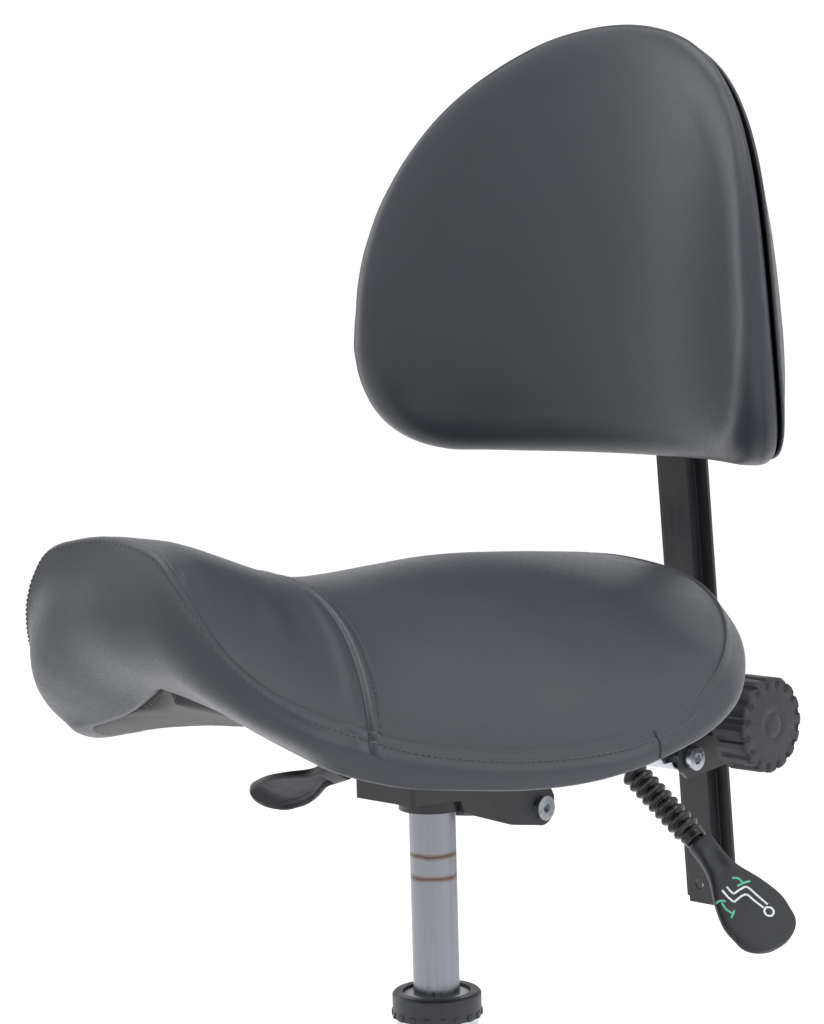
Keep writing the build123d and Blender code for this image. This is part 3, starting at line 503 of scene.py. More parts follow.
COVER_LIFT = 11.0         # the upholstery's hidden inner face over the underside
RIM_INSET = 16.0          # lower edge to where the lining starts


def outward(ring):
    """Level unit normals of a ring, pointing out of it."""
    tangent = np.roll(ring, -1, axis=0) - np.roll(ring, 1, axis=0)
    normal = np.stack([tangent[:, 1], -tangent[:, 0], np.zeros(len(ring))], axis=1)
    normal /= np.linalg.norm(normal, axis=1, keepdims=True)
    side = np.sign(np.sum(normal * (ring - ring.mean(axis=0)), axis=1).sum())
    return normal * side


class Saddle:
    """Shared lines of the seat: its seam, topstitch, lower edge and the line of its spine."""

    def __init__(self):
        stitch, edge = [s for s, _ in RIM], [e for _, e in RIM]
        share = even_shares(stitch, SEAT_HALF + 1, mirrored=True)
        self.stitch = whole(curve_at(stitch, share, mirrored=True))
        self.edge = whole(curve_at(edge, share, mirrored=True))
        self.out = outward((self.stitch + self.edge) / 2)
        self.nose = np.clip((-self.stitch[:, 1:2] - 190) / 45, 0, 1)
        self.rear = np.clip((self.stitch[:, 1:2] - BAND_JOINT[1] + 1) / 2, 0, 1)
        self.lift = 5.0 - 3.5 * self.nose
        self.lean = np.sqrt(FLAP ** 2 - self.lift ** 2)
        self.seam = self.stitch - self.out * self.lean + self.lift * (0, 0, 1)
        half_y = self.seam[:SEAT_HALF + 1, 1]
        level = (half_y - half_y[0]) / (half_y[-1] - half_y[0])
        mixed = 0.4 * np.linspace(0, 1, SEAT_HALF + 1) + 0.6 * level
        self.spine_y = NOSE_Y + (TAIL_Y - NOSE_Y) * mixed
        self.around = len(self.seam)
        self.pair = [k if k <= SEAT_HALF else 2 * SEAT_HALF - k for k in range(self.around)]

    def spine(self, table, lift=0.0):
        height = height_at(table, self.spine_y) + lift
        return np.stack([np.zeros(SEAT_HALF + 1), self.spine_y, height], axis=1)

    def band(self, share):
        """A ring of the side band, a share of the way from the topstitch down to the lower edge."""
        down = self.stitch + (self.edge - self.stitch) * share
        tall = np.linalg.norm(self.stitch - self.edge, axis=1, keepdims=True)
        swell = np.sin(pi * share ** (1.0 + 0.36 * self.nose)) * (0.2 + 0.09 * self.nose)
        return down + self.out * (tall * swell + 0.9 * self.rear)

    def inside(self, ring, table, share, power):
        """A ring a share of the way from the spine out to a ring, over or under a height table."""
        spine = self.spine(table)[self.pair]
        at = spine + (ring - spine) * share
        rise = ring[:, 2] - height_at(table, ring[:, 1])
        at[:, 2] = height_at(table, at[:, 1]) + rise * share ** power
        return at


def under_ring(saddle, share, lift):
    """A ring on the seat's underside, a share of the way out to the lining's rim, raised by lift."""
    outer = saddle.edge - saddle.out * (RIM_INSET - 3) + (0, 0, 0.4)
    return saddle.inside(outer, UNDER, share, 2.2) + (0, 0, lift)


def transverse_y(x):
    """Y of the seam across the top, between the nose panel and the rear panel."""
    return -127.0 - 45.0 * (np.abs(x) / 122.0) ** 2.2


def build_seat(saddle):
    nose = np.clip((-saddle.seam[:, 1] - 190) / 50, 0, 1)
    power = 1.9 + 0.9 * nose
    rings = Rings(saddle.around)
    rows = 26
    held = []
    for row in range(rows - 1, 0, -1):
        share = 1 - (1 - row / rows) ** 1.35
        rings.ring(saddle.inside(saddle.seam, CREST, share, power))
    rings.spine(saddle.spine(CREST))
    seam = rings.ring(saddle.seam - saddle.out * 0.3 - (0, 0, 2.0))
    rings.bridge(0, seam)
    held += range(seam, seam + saddle.around)
    up = (saddle.out * saddle.lift + saddle.lean * (0, 0, 1)) / FLAP
    for share, raised in ((0.1, 0.7), (0.25, 1.3), (0.55, 1.3), (0.82, 0.9), (1.0, -0.2)):
        ring = rings.ring(saddle.seam + (saddle.stitch - saddle.seam) * share + up * raised)
    held += range(ring, ring + saddle.around)
    for share in (0.07, 0.18, 0.32, 0.46, 0.6, 0.73, 0.85, 0.95):
        rings.ring(saddle.band(share))
    for inset, drop in ((0.8, -1.0), (3.6, -2.2), (8.0, -2.2), (12.0, -0.8), (RIM_INSET, 1.5)):
        edge = rings.ring(saddle.edge - saddle.out * inset + (0, 0, drop))
    held += range(edge, edge + saddle.around)
    cover = rings.ring(saddle.edge - saddle.out * (RIM_INSET + 0.5) + (0, 0, COVER_LIFT))
    for row in range(9, 0, -1):
        rings.ring(under_ring(saddle, row / 10, COVER_LIFT))
    rings.spine(saddle.spine(UNDER, COVER_LIFT))
    held += range(cover, len(rings.points))
    points = puffed(rings.points, rings.faces, held, pressure=2.5, cap=1.2)
    seat = piece("seat_upholstery", points, rings.faces, "leatherette", "seat",
                 ["seat_cushion"], subdivide=1)
    refine(seat, lambda c: c.z > 515 and abs(c.y - transverse_y(c.x)) < 16, 2)
    sew_across(seat)
    return seat


def sew_across(seat):
    """Pulls the transverse seam into the top, with the sewn-down allowance raised behind it."""
    mesh = seat.data
    points = vertices(mesh)
    normals = np.empty(len(mesh.vertices) * 3)
    mesh.vertices.foreach_get("normal", normals)
    normals = normals.reshape(-1, 3)
    top = (normals[:, 2] > 0.15) & (points[:, 1] < -80)
    slope = 45 * 2.2 / 122 * (np.abs(points[:, 0]) / 122) ** 1.2
    apart = (points[:, 1] - transverse_y(points[:, 0])) / np.sqrt(1 + slope ** 2)
    groove = -2.0 * np.exp(-(apart / 0.9) ** 2)
    flap = 0.55 * np.clip((apart - 0.8) / 1.5, 0, 1) * np.clip((9.5 - apart) / 3.5, 0, 1)
    stitch = -0.45 * np.exp(-((apart - 7.0) / 1.2) ** 2)
    puff = 0.7 * np.exp(-((apart + 7) / 5) ** 2)
    set_vertices(mesh, points + normals * ((groove + flap + stitch + puff) * top)[:, None])


def build_board(saddle):
    """The moulded plywood the foam sits on, hidden between the lining and the foam."""
    rings = Rings(saddle.around)
    top, low = COVER_LIFT - 1.0, 1.8
    for lift, rows in ((top, range(1, 11)), (low, range(10, 0, -1))):
        for row in rows:
            rings.ring(under_ring(saddle, 0.088 * row, lift))
    rings.spine(saddle.spine(UNDER, low))
    rings.last = 0
    rings.spine(saddle.spine(UNDER, top))
    return piece("seat_plywood", rings.points, rings.faces, "plywood", "seat", ["seat_board"])


def build_lining(saddle):
    rings = Rings(saddle.around)
    for row in range(14, 0, -1):
        at = under_ring(saddle, row / 14, 0.0)
        sag = [0.8 * noise.noise(Vector((p[0] / 26, p[1] / 26, 4.0))) for p in at]
        at[:, 2] += np.array(sag) * (row < 13)
        rings.ring(at)
    rings.spine(saddle.spine(UNDER))
    lining = piece("seat_underlining", rings.points, rings.faces, "mesh_lining", "seat",
                   ["seat_lining"])
    thick = lining.modifiers.new("thickness", "SOLIDIFY")
    thick.thickness = 0.7 * MM
    return lining


def build_seat_stitching(saddle, seat):
    tree = surface_tree(seat)
    around = saddle.around
    middle = around // 2
    ahead = [k for k in range(around) if saddle.stitch[k][1] < BAND_JOINT[1]]
    right, left = [k for k in ahead if k <= middle], [k for k in ahead if k > middle]
    stitches("band_topstitch", saddle.stitch[left + right] + saddle.out[left + right] * 2, tree, "seat")
    width = np.linspace(-124, 124, 120)
    across = [(x, transverse_y(x) + 7.2, 640.0) for x in width]
    path = []
    for x, y, z in across:
        hit = tree.ray_cast(Vector((x, y, z)) * MM, Vector((0, 0, -1)))
        if hit[0] and hit[1].z > 0.1:
            path.append(tuple(Vector(hit[0]) / MM))
    stitches("top_topstitch", path, tree, "seat")


def build_band_joints(saddle, seat):
    """The lengthwise joints of the side band: a thin sewn bead down the band on each side."""
    tree = surface_tree(seat)
    for sign, name in ((1, "band_joint_right"), (-1, "band_joint_left")):
        near = min(range(saddle.around),
                   key=lambda k: np.hypot(*(saddle.stitch[k][:2] - (sign * BAND_JOINT[0], BAND_JOINT[1]))))
        top, low = saddle.seam[near], saddle.edge[near]
        path = []
        for t in np.linspace(0.02, 1.04, 16):
            spot = top + (low - top) * t + saddle.out[near] * 3
            path.append(on_surface(tree, spot, 0.1)[0])
        tube(name, path, 1.1, "leatherette", "seat")


def circle(middle, side, other, radius, count):
    """Points round a circle in the plane of two unit vectors."""
    turns = [2 * pi * j / count for j in range(count)]
    return [middle + (side * cos(turn) + other * sin(turn)) * radius for turn in turns]


def tube(name, path, radius, finish, body, around=10):
    """A round bead along a path."""
    path = [Vector(p) for p in path]
    rings = Rings(around)
    side = None
    for k, spot in enumerate(path):
        along = (path[min(k + 1, len(path) - 1)] - path[max(k - 1, 0)]).normalized()
        side = side or along.orthogonal()
        side = (side - along * side.dot(along)).normalized()
        other = along.cross(side)
        rings.ring(circle(spot, side, other, radius, around))
    rings.tip(path[-1])
    rings.last = 0
    rings.tip(path[0])
    return piece(name, rings.points, rings.faces, finish, body)


# ---------------------------------------------------------------- backrest
BACK_AXIS_Y = -17.0
BACK_BOTTOM = 648.0
BACK_H = 268.0
BACK_FRONT_R = (190.0, 190.5)      # radius of the front face at the bottom and at the top
BACK_REAR_R = (225.0, 207.0)
BACK_WIDE_H = 77.0
BACK_HALF = 173.0
BACK_CORNER = 69.0
CORNER_POWER = 2.4
EDGE_INSET, EDGE_DEPTH = 30.0, 0.7   # the front edge's rounding: run in, and share of the thickness
SHELL_RIM = 3.5                    # the shell's rim, taken off the pad's thickness
SHELL_DOME = 10.0                  # how far the shell's middle stands behind the pad's rear face
BACK_STEPS = 96


def back_place(s, h, depth):
    """World place of a pad point: arc length s from the middle, height h, depth behind the front face."""
    share = np.clip(h / BACK_H, 0, 1)
    r = BACK_FRONT_R[0] + (BACK_FRONT_R[1] - BACK_FRONT_R[0]) * share + depth
    angle = s / BACK_FRONT_R[0]
    return np.stack([r * np.sin(angle), BACK_AXIS_Y + r * np.cos(angle), BACK_BOTTOM + h], axis=1)


def back_thickness(h):
    bottom, top = (BACK_REAR_R[k] - BACK_FRONT_R[k] for k in (0, 1))
    return bottom + (top - bottom) * np.clip(h / BACK_H, 0, 1)


def back_outline():
    """The D outline's +X half as (arc, height), from the middle of the bottom to that of the top."""
    flat = BACK_HALF - BACK_CORNER
    points = [(0, 0), (0.5 * flat, 0.0)]
    bend = 2 / CORNER_POWER
    points += [(flat + BACK_CORNER * sin(t) ** bend, BACK_WIDE_H * (1 - cos(t) ** bend))
               for t in (0.02, 0.2, 0.45, 0.7, 0.95, 1.2, 1.4)]
    points += [(BACK_HALF * cos(t), BACK_WIDE_H + (BACK_H - BACK_WIDE_H) * sin(t))
               for t in (0.0, 0.25, 0.5, 0.75, 1.0, 1.25, 1.42)]
    points.append((0, BACK_H))
    return points


class Pad:
    """Shared lines of the backrest: its outline and the line in its middle, as (arc, height)."""

    def __init__(self):
        outline = back_outline()
        half = curve_at(outline, even_shares(outline, BACK_STEPS + 1, mirrored=True), mirrored=True)
        self.ring = np.vstack([half, half[-2:0:-1] * (-1, 1)])
        self.around = len(self.ring)
        flat = np.stack([self.ring[:, 0], self.ring[:, 1], np.zeros(self.around)], axis=1)
        self.out = outward(flat)[:, :2]
        pair = [k if k <= BACK_STEPS else 2 * BACK_STEPS - k for k in range(self.around)]
        self.middle = np.stack([np.zeros(BACK_STEPS + 1), np.linspace(55, 195, BACK_STEPS + 1)], axis=1)
        self.spine = self.middle[pair]

    def inside(self, inset, share):
        """Flat ring a share of the way from the middle out to the outline moved in by inset."""
        return self.spine + (self.ring - self.out * inset - self.spine) * share

    def place(self, at, depth):
        """World ring from a flat one; depth is behind the front face, negative depths behind the rear."""
        return back_place(at[:, 0], at[:, 1], depth)


def smooth_step(x):
    x = np.clip(x, 0, 1)
    return x * x * (3 - 2 * x)


def build_backrest(pad):
    rings = Rings(pad.around)
    thick = back_thickness(pad.ring[:, 1]) - SHELL_RIM
    bend = EDGE_DEPTH * thick
    crown, rows = 2.0, 24
    for row in range(1, rows + 1):
        share = 1 - (1 - row / rows) ** 1.2
        rings.ring(pad.place(pad.inside(EDGE_INSET, share), -crown * (1 - share ** 2.5)))
    for turn in (12, 24, 36, 48, 60, 70, 80, 90):
        at = pad.inside(EDGE_INSET * (1 - sin(radians(turn))), 1.0)
        rings.ring(pad.place(at, bend * (1 - cos(radians(turn))) ** 1.15))
    for share in (0.15, 0.35, 0.55, 0.75, 0.9):
        ripple = np.array([noise.noise(Vector((s / 11, h / 11, 2.5))) for s, h in pad.ring])
        at = pad.ring + pad.out * (0.6 * sin(pi * share) + 1.3 * ripple * share ** 3)[:, None]
        rings.ring(pad.place(at, bend + (thick - 2 - bend) * share))
    for inset, short in ((0.8, 1.0), (2.5, 0.2), (6.0, 0.0), (12.0, 0.0)):
        edge = rings.ring(pad.place(pad.inside(inset, 1.0), thick - short))
    for row in range(8, 0, -1):
        at = pad.inside(12.5, row / 8)
        rings.ring(pad.place(at, back_thickness(at[:, 1]) - SHELL_RIM - 6))
    rings.spine(pad.place(pad.middle, back_thickness(pad.middle[:, 1]) - SHELL_RIM - 6))
    held = range(edge, len(rings.points))
    rings.last = 0
    rings.spine(pad.place(pad.middle, np.full(len(pad.middle), -crown)))
    points = puffed(rings.points, rings.faces, held, pressure=2.5, cap=1.2)
    made = piece("backrest_upholstery", points, rings.faces, "leatherette", "back",
                 ["backrest_cushion"], subdivide=1)


def build_back_panel(pad, name, finish, node, front, rear, inset):
    """A closed curved panel; front and rear give its depths behind the pad's own rear face."""
    rings = Rings(pad.around)
    rows = 12
    for share in [k / rows for k in range(1, rows + 1)]:
        at = pad.inside(inset, share)
        rings.ring(pad.place(at, back_thickness(at[:, 1]) + front(share)))
    at = pad.inside(inset - 0.6, 1.0)
    rings.ring(pad.place(at, back_thickness(at[:, 1]) + (front(1.0) + rear(1.0)) / 2))
    for share in [k / rows for k in range(rows, 0, -1)]:
        at = pad.inside(inset, share)
        rings.ring(pad.place(at, back_thickness(at[:, 1]) + rear(share)))
    rings.spine(pad.place(pad.middle, back_thickness(pad.middle[:, 1]) + rear(0.0)))
    rings.last = 0
    rings.spine(pad.place(pad.middle, back_thickness(pad.middle[:, 1]) + front(0.0)))
    return piece(name, rings.points, rings.faces, finish, "back", [node], subdivide=1)


def build_back_panels(pad):
    """The plywood let into the pad's rear, and the moulded shell over it."""
    def dome(share):
        return SHELL_DOME * float(smooth_step((1 - share) / 0.3))

    build_back_panel(pad, "backrest_plywood", "plywood", "backrest_board",
                     lambda share: -SHELL_RIM - 5.0, lambda share: -SHELL_RIM + 1.0 * (share < 0.9), 15.0)
    build_back_panel(pad, "backrest_cover", "black_plastic", "backrest_shell",
                     lambda share: dome(share) - SHELL_RIM + 0.3, dome, 3.0)


# ---------------------------------------------------------------- levers, boot and knob
TILT_PIN, TILT_NECK, TILT_TIP = (28.0, 138.0, 465.0), (97.0, 138.0, 414.0), (152.0, 138.0, 362.0)
LIFT_NECK, LIFT_TIP = (-80.0, 0.0, 464.0), (-150.0, 0.0, 437.0)
TILT_ROLL, LIFT_ROLL = 27.0, 35.0
TILT_HALF, LIFT_HALF = 22.0, 18.0
ROD_R = 4.0
BOOT_START, BOOT_END, BOOT_SLEEVE, BOOT_FOLDS = 15.0, 70.0, 78.0, 9


def paddle_axes(neck, tip, roll):
    """Origin and unit axes of a paddle: along it, across it, and out of its upper face."""
    neck, tip = Vector(neck), Vector(tip)
    along = (tip - neck).normalized()
    up = along.cross(Vector((0, 1, 0)))
    if up.z < 0:
        up = -up
    turn = radians(roll)
    across = up.cross(along)
    up = up * cos(turn) + along.cross(up) * sin(turn)
    across = up.cross(along)
    return neck, along, across, up


def build_paddle(name, neck, tip, roll, wide, node, body, hollow):
    origin, along, across, up = paddle_axes(neck, tip, roll)
    reach = (Vector(tip) - Vector(neck)).length
    rings = Rings(40)
    stations = list(np.concatenate([np.linspace(-0.09, 0.86, 30), [0.9, 0.935, 0.962, 0.982, 0.994]]))
    table = [(-0.09, 8.2), (0.08, 8.3), (0.24, 0.48 * wide), (0.44, 0.8 * wide), (0.64, wide),
             (0.8, 0.96 * wide)]
    widths = curve_at(table, np.linspace(0, 1, 60))
    for share in stations:
        if share < 0.8:
            half = float(np.interp(share, widths[:, 0], widths[:, 1]))
        else:
            half = 0.96 * wide * float(np.sqrt(max(0.0, 1 - ((share - 0.8) / 0.2) ** 2.1)))
        thick = 4.0 if share > 0.2 else 4.0 + 1.6 * (0.2 - share) / 0.29
        thick *= 1.0 if share < 0.9 else 0.8 + 0.2 * (1 - share) / 0.1
        ring = []
        for j in range(40):
            turn = 2 * pi * j / 40
            c, s = cos(turn), sin(turn)
            y = half * np.sign(c) * abs(c) ** 0.55
            z = thick * np.sign(s) * abs(s) ** 0.62
            dish = -1.1 * max(0.0, 1 - (y / max(half, 1)) ** 2) if share > 0.25 and z > 0 else 0.0
            if z > 0 and abs(y) < 5:
                z -= 1.6 * max(0.0, 1 - ((share - 0.14) / 0.13) ** 2) * (1 - (y / 5) ** 2)
            if hollow and z < 0 and share > 0.12 and share < 0.93 and abs(y) < half - 2.6:
                z = thick - 2.6
            z += dish * min(1, (share - 0.25) * 4)
            ring.append(origin + along * (share * reach) + across * y + up * z)
        rings.ring(ring)
    rings.tip(origin + along * reach)
    rings.last = 0
    rings.tip(origin - along * (0.09 * reach))
    paddle = piece(name, rings.points, rings.faces, "black_plastic", body, [node],
                   subdivide=1)
    return paddle, (origin, along, across, up)


def ribbon(name, axes, strokes, width, finish, tree, body):
    """Flat printed strokes on a surface. Strokes are lists of (along, across) in a paddle's own axes."""
    origin, along, across, up = axes
    points, faces = [], []
    for stroke in strokes:
        fine = curve_at(stroke, np.linspace(0, 1, 6 * len(stroke)))
        steps = np.gradient(fine, axis=0)
        sides = np.stack([-steps[:, 1], steps[:, 0]], axis=1)
        sides /= np.linalg.norm(sides, axis=1, keepdims=True)
        start = len(points)
        for spot, side in zip(fine, sides):
            for reach in (-0.5, 0.5):
                a, b = spot + side * reach * width
                above = origin + along * float(a) + across * float(b) + up * 20
                hit, normal, _, _ = tree.ray_cast(above * MM, -up)
                points.append(tuple(hit / MM + normal * 0.12))
        faces += [(start + 2 * k, start + 2 * k + 1, start + 2 * k + 3, start + 2 * k + 2)
                  for k in range(len(fine) - 1)]
    made = piece(name, points, faces, finish, body)
    thick = made.modifiers.new("thickness", "SOLIDIFY")
    thick.thickness, thick.offset = 0.1 * MM, 0
    return made


def build_tilt_sign(paddle, axes):
    """A sitter in outline on the paddle's face, in white, with a seat line and a turning arrow in green."""
    tree = surface_tree(paddle)
    sitter = [
        [(51.0, 7.5), (52.5, 5.0), (55.5, 4.8), (57.2, 7.0), (56.0, 9.6), (53.0, 10.0), (51.0, 7.5)],
        [(50.5, 6.0), (44.0, 4.0), (38.5, 2.5), (37.5, -1.0), (38.5, -7.5)],
        [(38.5, -7.5), (34.0, -8.8), (28.5, -9.2)],
        [(50.0, 9.5), (42.0, 7.6), (34.5, 5.6), (33.5, 1.5), (34.0, -4.5)],
        [(34.0, -4.5), (31.0, -5.2), (28.0, -5.4)],
    ]
    ribbon("tilt_sign_sitter", axes, sitter, 1.3, WHITE_INK, tree, "tilt_lever")
    seat_lines = [
        [(31.0, 0.5), (31.0, 5.0), (32.0, 9.5)], [(31.0, 5.0), (27.0, 4.0), (25.0, 1.0)],
        [(44.0, -13.0), (41.0, -14.3), (38.0, -14.6), (35.0, -14.2)],
        [(43.0, -10.6), (45.0, -13.4), (46.2, -15.6)], [(35.6, -11.6), (33.6, -14.2), (33.4, -17.0)],
    ]
    ribbon("tilt_sign_seat", axes, seat_lines, 1.3, GREEN_INK, tree, "tilt_lever")


def build_boot():
    start, end = Vector(TILT_PIN), Vector(TILT_NECK)
    along = (end - start).normalized()
    side = along.cross(Vector((0, 1, 0))).normalized()
    other = along.cross(side)
    pitch = (BOOT_END - BOOT_START) / BOOT_FOLDS
    outline = [(BOOT_START, ROD_R + 0.2), (BOOT_START, 6.6)]
    for fold in range(BOOT_FOLDS):
        for step in range(10):
            t = step / 10
            swell = (0.5 - 0.5 * cos(2 * pi * t)) ** 0.62
            outline.append((BOOT_START + (fold + t) * pitch, 6.3 + 2.7 * swell))
    outline += [(BOOT_END, 6.4), (BOOT_END + 0.6, 7.1), (BOOT_END + 1.4, 7.7), (BOOT_END + 2.6, 7.7),
                (BOOT_END + 3.2, 7.2), (BOOT_SLEEVE - 0.6, 7.2), (BOOT_SLEEVE, 6.6),
                (BOOT_SLEEVE, ROD_R + 0.2)]
    rings = Rings(40)
    for at, r in outline:
        rings.ring(circle(start + along * at, side, other, r, 40))
    rings.bridge(rings.last, 0)
    return piece("tilt_bellows", rings.points, rings.faces, "boot_rubber", "tilt_lever",
                 ["tilt_boot"], subdivide=1)


KNOB_YZ = (236.0, 474.0)
KNOB_R, KNOB_FACES = 31.0, 16
KNOB_BOSS_R, KNOB_BOSS_X, KNOB_RIM_X, KNOB_FACE_X = 12.0, 27.3, 49.0, 75.0


def knob_radius(turn, x, r):
    """Radius of the knob's wall: facets, with a round-ended groove down each of them from the face."""
    sector = 2 * pi / KNOB_FACES
    inside = (turn % sector) - sector / 2
    facet = r * cos(sector / 2) / cos(inside)
    across = abs(inside) * r
    reach = KNOB_FACE_X - x
    depth = 1.4 * np.clip((2.3 - across) / 0.4, 0, 1) * np.clip((20.5 - reach) / 1.0, 0, 1)
    return facet - depth


def build_knob():
    y0, z0 = KNOB_YZ
    around = KNOB_FACES * 20
    rings = Rings(around)

    def level(x, r, wall=True):
        ring = []
        for j in range(around):
            turn = 2 * pi * j / around
            out = knob_radius(turn, x, r) if wall else r
            ring.append((x, y0 + out * cos(turn), z0 + out * sin(turn)))
        return rings.ring(ring)

    level(KNOB_BOSS_X, 4.2, False)
    level(KNOB_BOSS_X, KNOB_BOSS_R - 0.6, False)
    level(KNOB_BOSS_X + 0.6, KNOB_BOSS_R, False)
    level(KNOB_RIM_X - 0.4, KNOB_BOSS_R, False)
    level(KNOB_RIM_X, KNOB_BOSS_R + 0.6, False)
    level(KNOB_RIM_X, KNOB_R - 2.5)
    level(KNOB_RIM_X + 0.3, KNOB_R - 1.0)
    for x in (KNOB_RIM_X + 1.2, KNOB_RIM_X + 3, 54.2, 54.8, 55.3, 56.0, 60.0, 65.0, 70.0, KNOB_FACE_X - 2.2):
        level(x, KNOB_R)
    level(KNOB_FACE_X - 1.1, KNOB_R - 0.5)
    level(KNOB_FACE_X - 0.3, KNOB_R - 1.3)
    for r in (KNOB_R - 2.6, KNOB_R - 4.4, KNOB_R - 6.0, KNOB_R - 6.6, KNOB_R - 7.2, KNOB_R - 8.4):
        ring = []
        for j in range(around):
            turn = 2 * pi * j / around
            sector = 2 * pi / KNOB_FACES
            across = abs((turn % sector) - sector / 2) * r
            reach = np.clip((r - KNOB_R + 7.4 - 0.25 * across ** 2) / 0.6, 0, 1)
            notch = 1.5 * np.clip((2.3 - across) / 0.4, 0, 1) * reach
            ring.append((KNOB_FACE_X - notch, y0 + r * cos(turn), z0 + r * sin(turn)))
        rings.ring(ring)
    for lift, r in ((0.5, 14.0), (0.8, 8.7), (0.45, 8.4), (0.45, 8.0), (0.85, 7.7), (1.0, 3.0)):
        level(KNOB_FACE_X + lift, r, False)
    rings.tip((KNOB_FACE_X + 1.05, y0, z0))
    rings.last = 0
    return piece("back_knob", rings.points, rings.faces, "black_plastic", "knob",
                 ["clamp_knob"])


# ---------------------------------------------------------------- CAD nodes that stay
KEPT = {
    "chrome": ["five_star_base", "outer_tube"],
    "brushed_cylinder": ["gas_cylinder"],
    "pale_plastic": ["guide_sleeve"],
    "boot_rubber": ["rod_buffer"],
    "black_plastic": ["top_collar", "bar_guide"],
    "black_steel": ["mech_housing", "seat_plate", "lever_bracket", "clamp_housing", "back_upright",
                    "backrest_mount", "tilt_lever_rod", "height_lever_rod"],
}


# Edge roundings, in millimetres.
ROUNDED = {"clamp_housing": 0.8, "lever_bracket": 0.5, "seat_plate": 0.6, "back_upright": 0.5,
           "back_arm": 0.6, "bracket_bolt": 0.3, "top_collar": 0.5, "mech_housing": 0.8, "bar_guide": 0.4}


def dress_frame():
    """Gives each CAD node its finish, and rounds the edges of the steel and moulded parts in view."""
    by_node = {node: finish for finish, nodes in KEPT.items() for node in nodes}
    for name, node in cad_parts.items():
        finish = by_node.get(name, "zinc_steel")
        if name.endswith("_hood"):
            finish = "black_plastic"
        if name.endswith("_wheels"):
            finish = "wheel_nylon"
        node.data.materials.clear()
        node.data.materials.append(FINISHES[finish])
        if name in ROUNDED:
            weld = node.modifiers.new("weld", "WELD")
            weld.merge_threshold = 0.01 * MM
            bevel = node.modifiers.new("rounded_edges", "BEVEL")
            bevel.width, bevel.segments = ROUNDED[name] * MM, 2
            bevel.limit_method, bevel.angle_limit = "ANGLE", radians(38)
            node.modifiers.new("normals", "WEIGHTED_NORMAL").keep_sharp = True


# ---------------------------------------------------------------- studio
def build_stage():
    """A pale floor that sweeps up into a backdrop all round."""
    pale = Finish("studio_floor", (0.86, 0.86, 0.87), 0.6, Emission_Color=(1, 1, 1, 1),
                  Emission_Strength=0.2)
    pale.colors(pale.noise(0.6, 2), [(0.3, (0.85, 0.85, 0.86)), (0.7, (0.88, 0.88, 0.885))])
    rings = Rings(96)
    floor_r, bend = 9000.0, 2500.0
    profile = [(30, 0), (300, 0)] + [(1500 * k, 0) for k in range(1, 7)]
    profile += [(floor_r + bend * sin(t), bend * (1 - cos(t))) for t in np.linspace(0.15, pi / 2, 10)]
    profile.append((floor_r + bend, 7000))
    for r, z in profile:
        rings.ring([(r * cos(2 * pi * j / 96), r * sin(2 * pi * j / 96), z) for j in range(96)])
    rings.last = 0
    rings.tip((0, 0, 0))
    mesh = bpy.data.meshes.new("studio")
    mesh.from_pydata((np.array(rings.points) * MM).tolist(), [], rings.faces)
    work = bmesh.new()
    work.from_mesh(mesh)
    for face in work.faces:
        centre = face.calc_center_median()
        if face.normal.dot(Vector((0, 0, 2)) - centre) < 0:
            face.normal_flip()
    work.to_mesh(mesh)
    work.free()
    mesh.shade_smooth()
    mesh.materials.append(pale.material)
    floor = bpy.data.objects.new("studio", mesh)
    bpy.context.scene.collection.objects.link(floor)


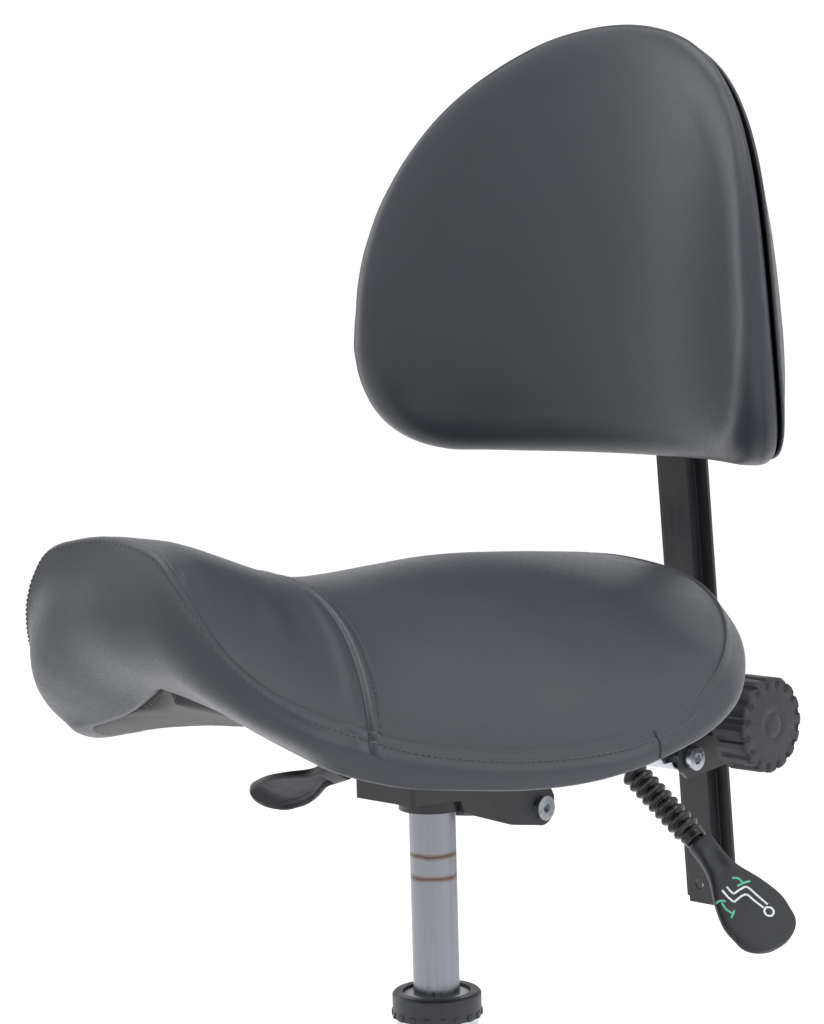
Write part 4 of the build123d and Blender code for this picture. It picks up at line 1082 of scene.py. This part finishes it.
def area_light(name, place, aim, size, power, color=(1, 1, 1)):
    light = bpy.data.lights.new(name, "AREA")
    light.shape = "RECTANGLE"
    light.size, light.size_y = size
    light.energy = power
    light.color = color
    lamp = bpy.data.objects.new(name, light)
    lamp.location = place
    lamp.rotation_euler = (Vector(aim) - Vector(place)).to_track_quat("-Z", "Y").to_euler()
    bpy.context.scene.collection.objects.link(lamp)


def build_lights():
    world = bpy.data.worlds.new("studio_air")
    world.use_nodes = True
    world.node_tree.nodes["Background"].inputs[0].default_value = (1, 1, 1, 1)
    world.node_tree.nodes["Background"].inputs[1].default_value = 0.9
    bpy.context.scene.world = world
    bpy.context.scene.view_settings.view_transform = "Standard"
    area_light("top_soft", (0.0, -0.1, 2.7), (0, 0, 0.6), (2.2, 2.2), 36)
    area_light("left_soft", (-2.2, -0.6, 1.3), (0, 0, 0.6), (1.4, 2.0), 14)
    area_light("right_soft", (2.2, 0.5, 1.4), (0, 0.1, 0.6), (1.0, 1.8), 14)


def build_camera():
    """The camera stands in front of the sitter's left side, a little above the seat."""
    azimuth, pitch, roll = radians(44.0), radians(6.056), radians(-1.5)
    aim, distance = Vector((-0.0049, -0.0055, 0.6285)), 1.769
    back = Vector((sin(azimuth) * cos(pitch), -cos(azimuth) * cos(pitch), sin(pitch)))
    camera_data = bpy.data.cameras.new("camera")
    camera_data.sensor_width = 36.0
    camera_data.lens = 105.47
    camera_data.clip_end = 60
    camera = bpy.data.objects.new("camera", camera_data)
    camera.location = aim + back * distance
    level = back.to_track_quat("Z", "Y")
    camera.rotation_mode = "QUATERNION"
    camera.rotation_quaternion = level @ Quaternion((0, 0, 1), roll)
    bpy.context.scene.collection.objects.link(camera)
    bpy.context.scene.camera = camera


build_stage()
build_lights()
build_camera()
dress_frame()
saddle = Saddle()
seat = build_seat(saddle)
build_board(saddle)
build_lining(saddle)
build_seat_stitching(saddle, seat)
build_band_joints(saddle, seat)
pad = Pad()
build_backrest(pad)
build_back_panels(pad)
build_boot()
paddle, axes = build_paddle("tilt_handle", TILT_NECK, TILT_TIP, TILT_ROLL, TILT_HALF,
                            "tilt_paddle", "tilt_lever", False)
build_tilt_sign(paddle, axes)
build_paddle("height_handle", LIFT_NECK, LIFT_TIP, LIFT_ROLL, LIFT_HALF,
             "height_paddle", "height_lever", True)
build_knob()
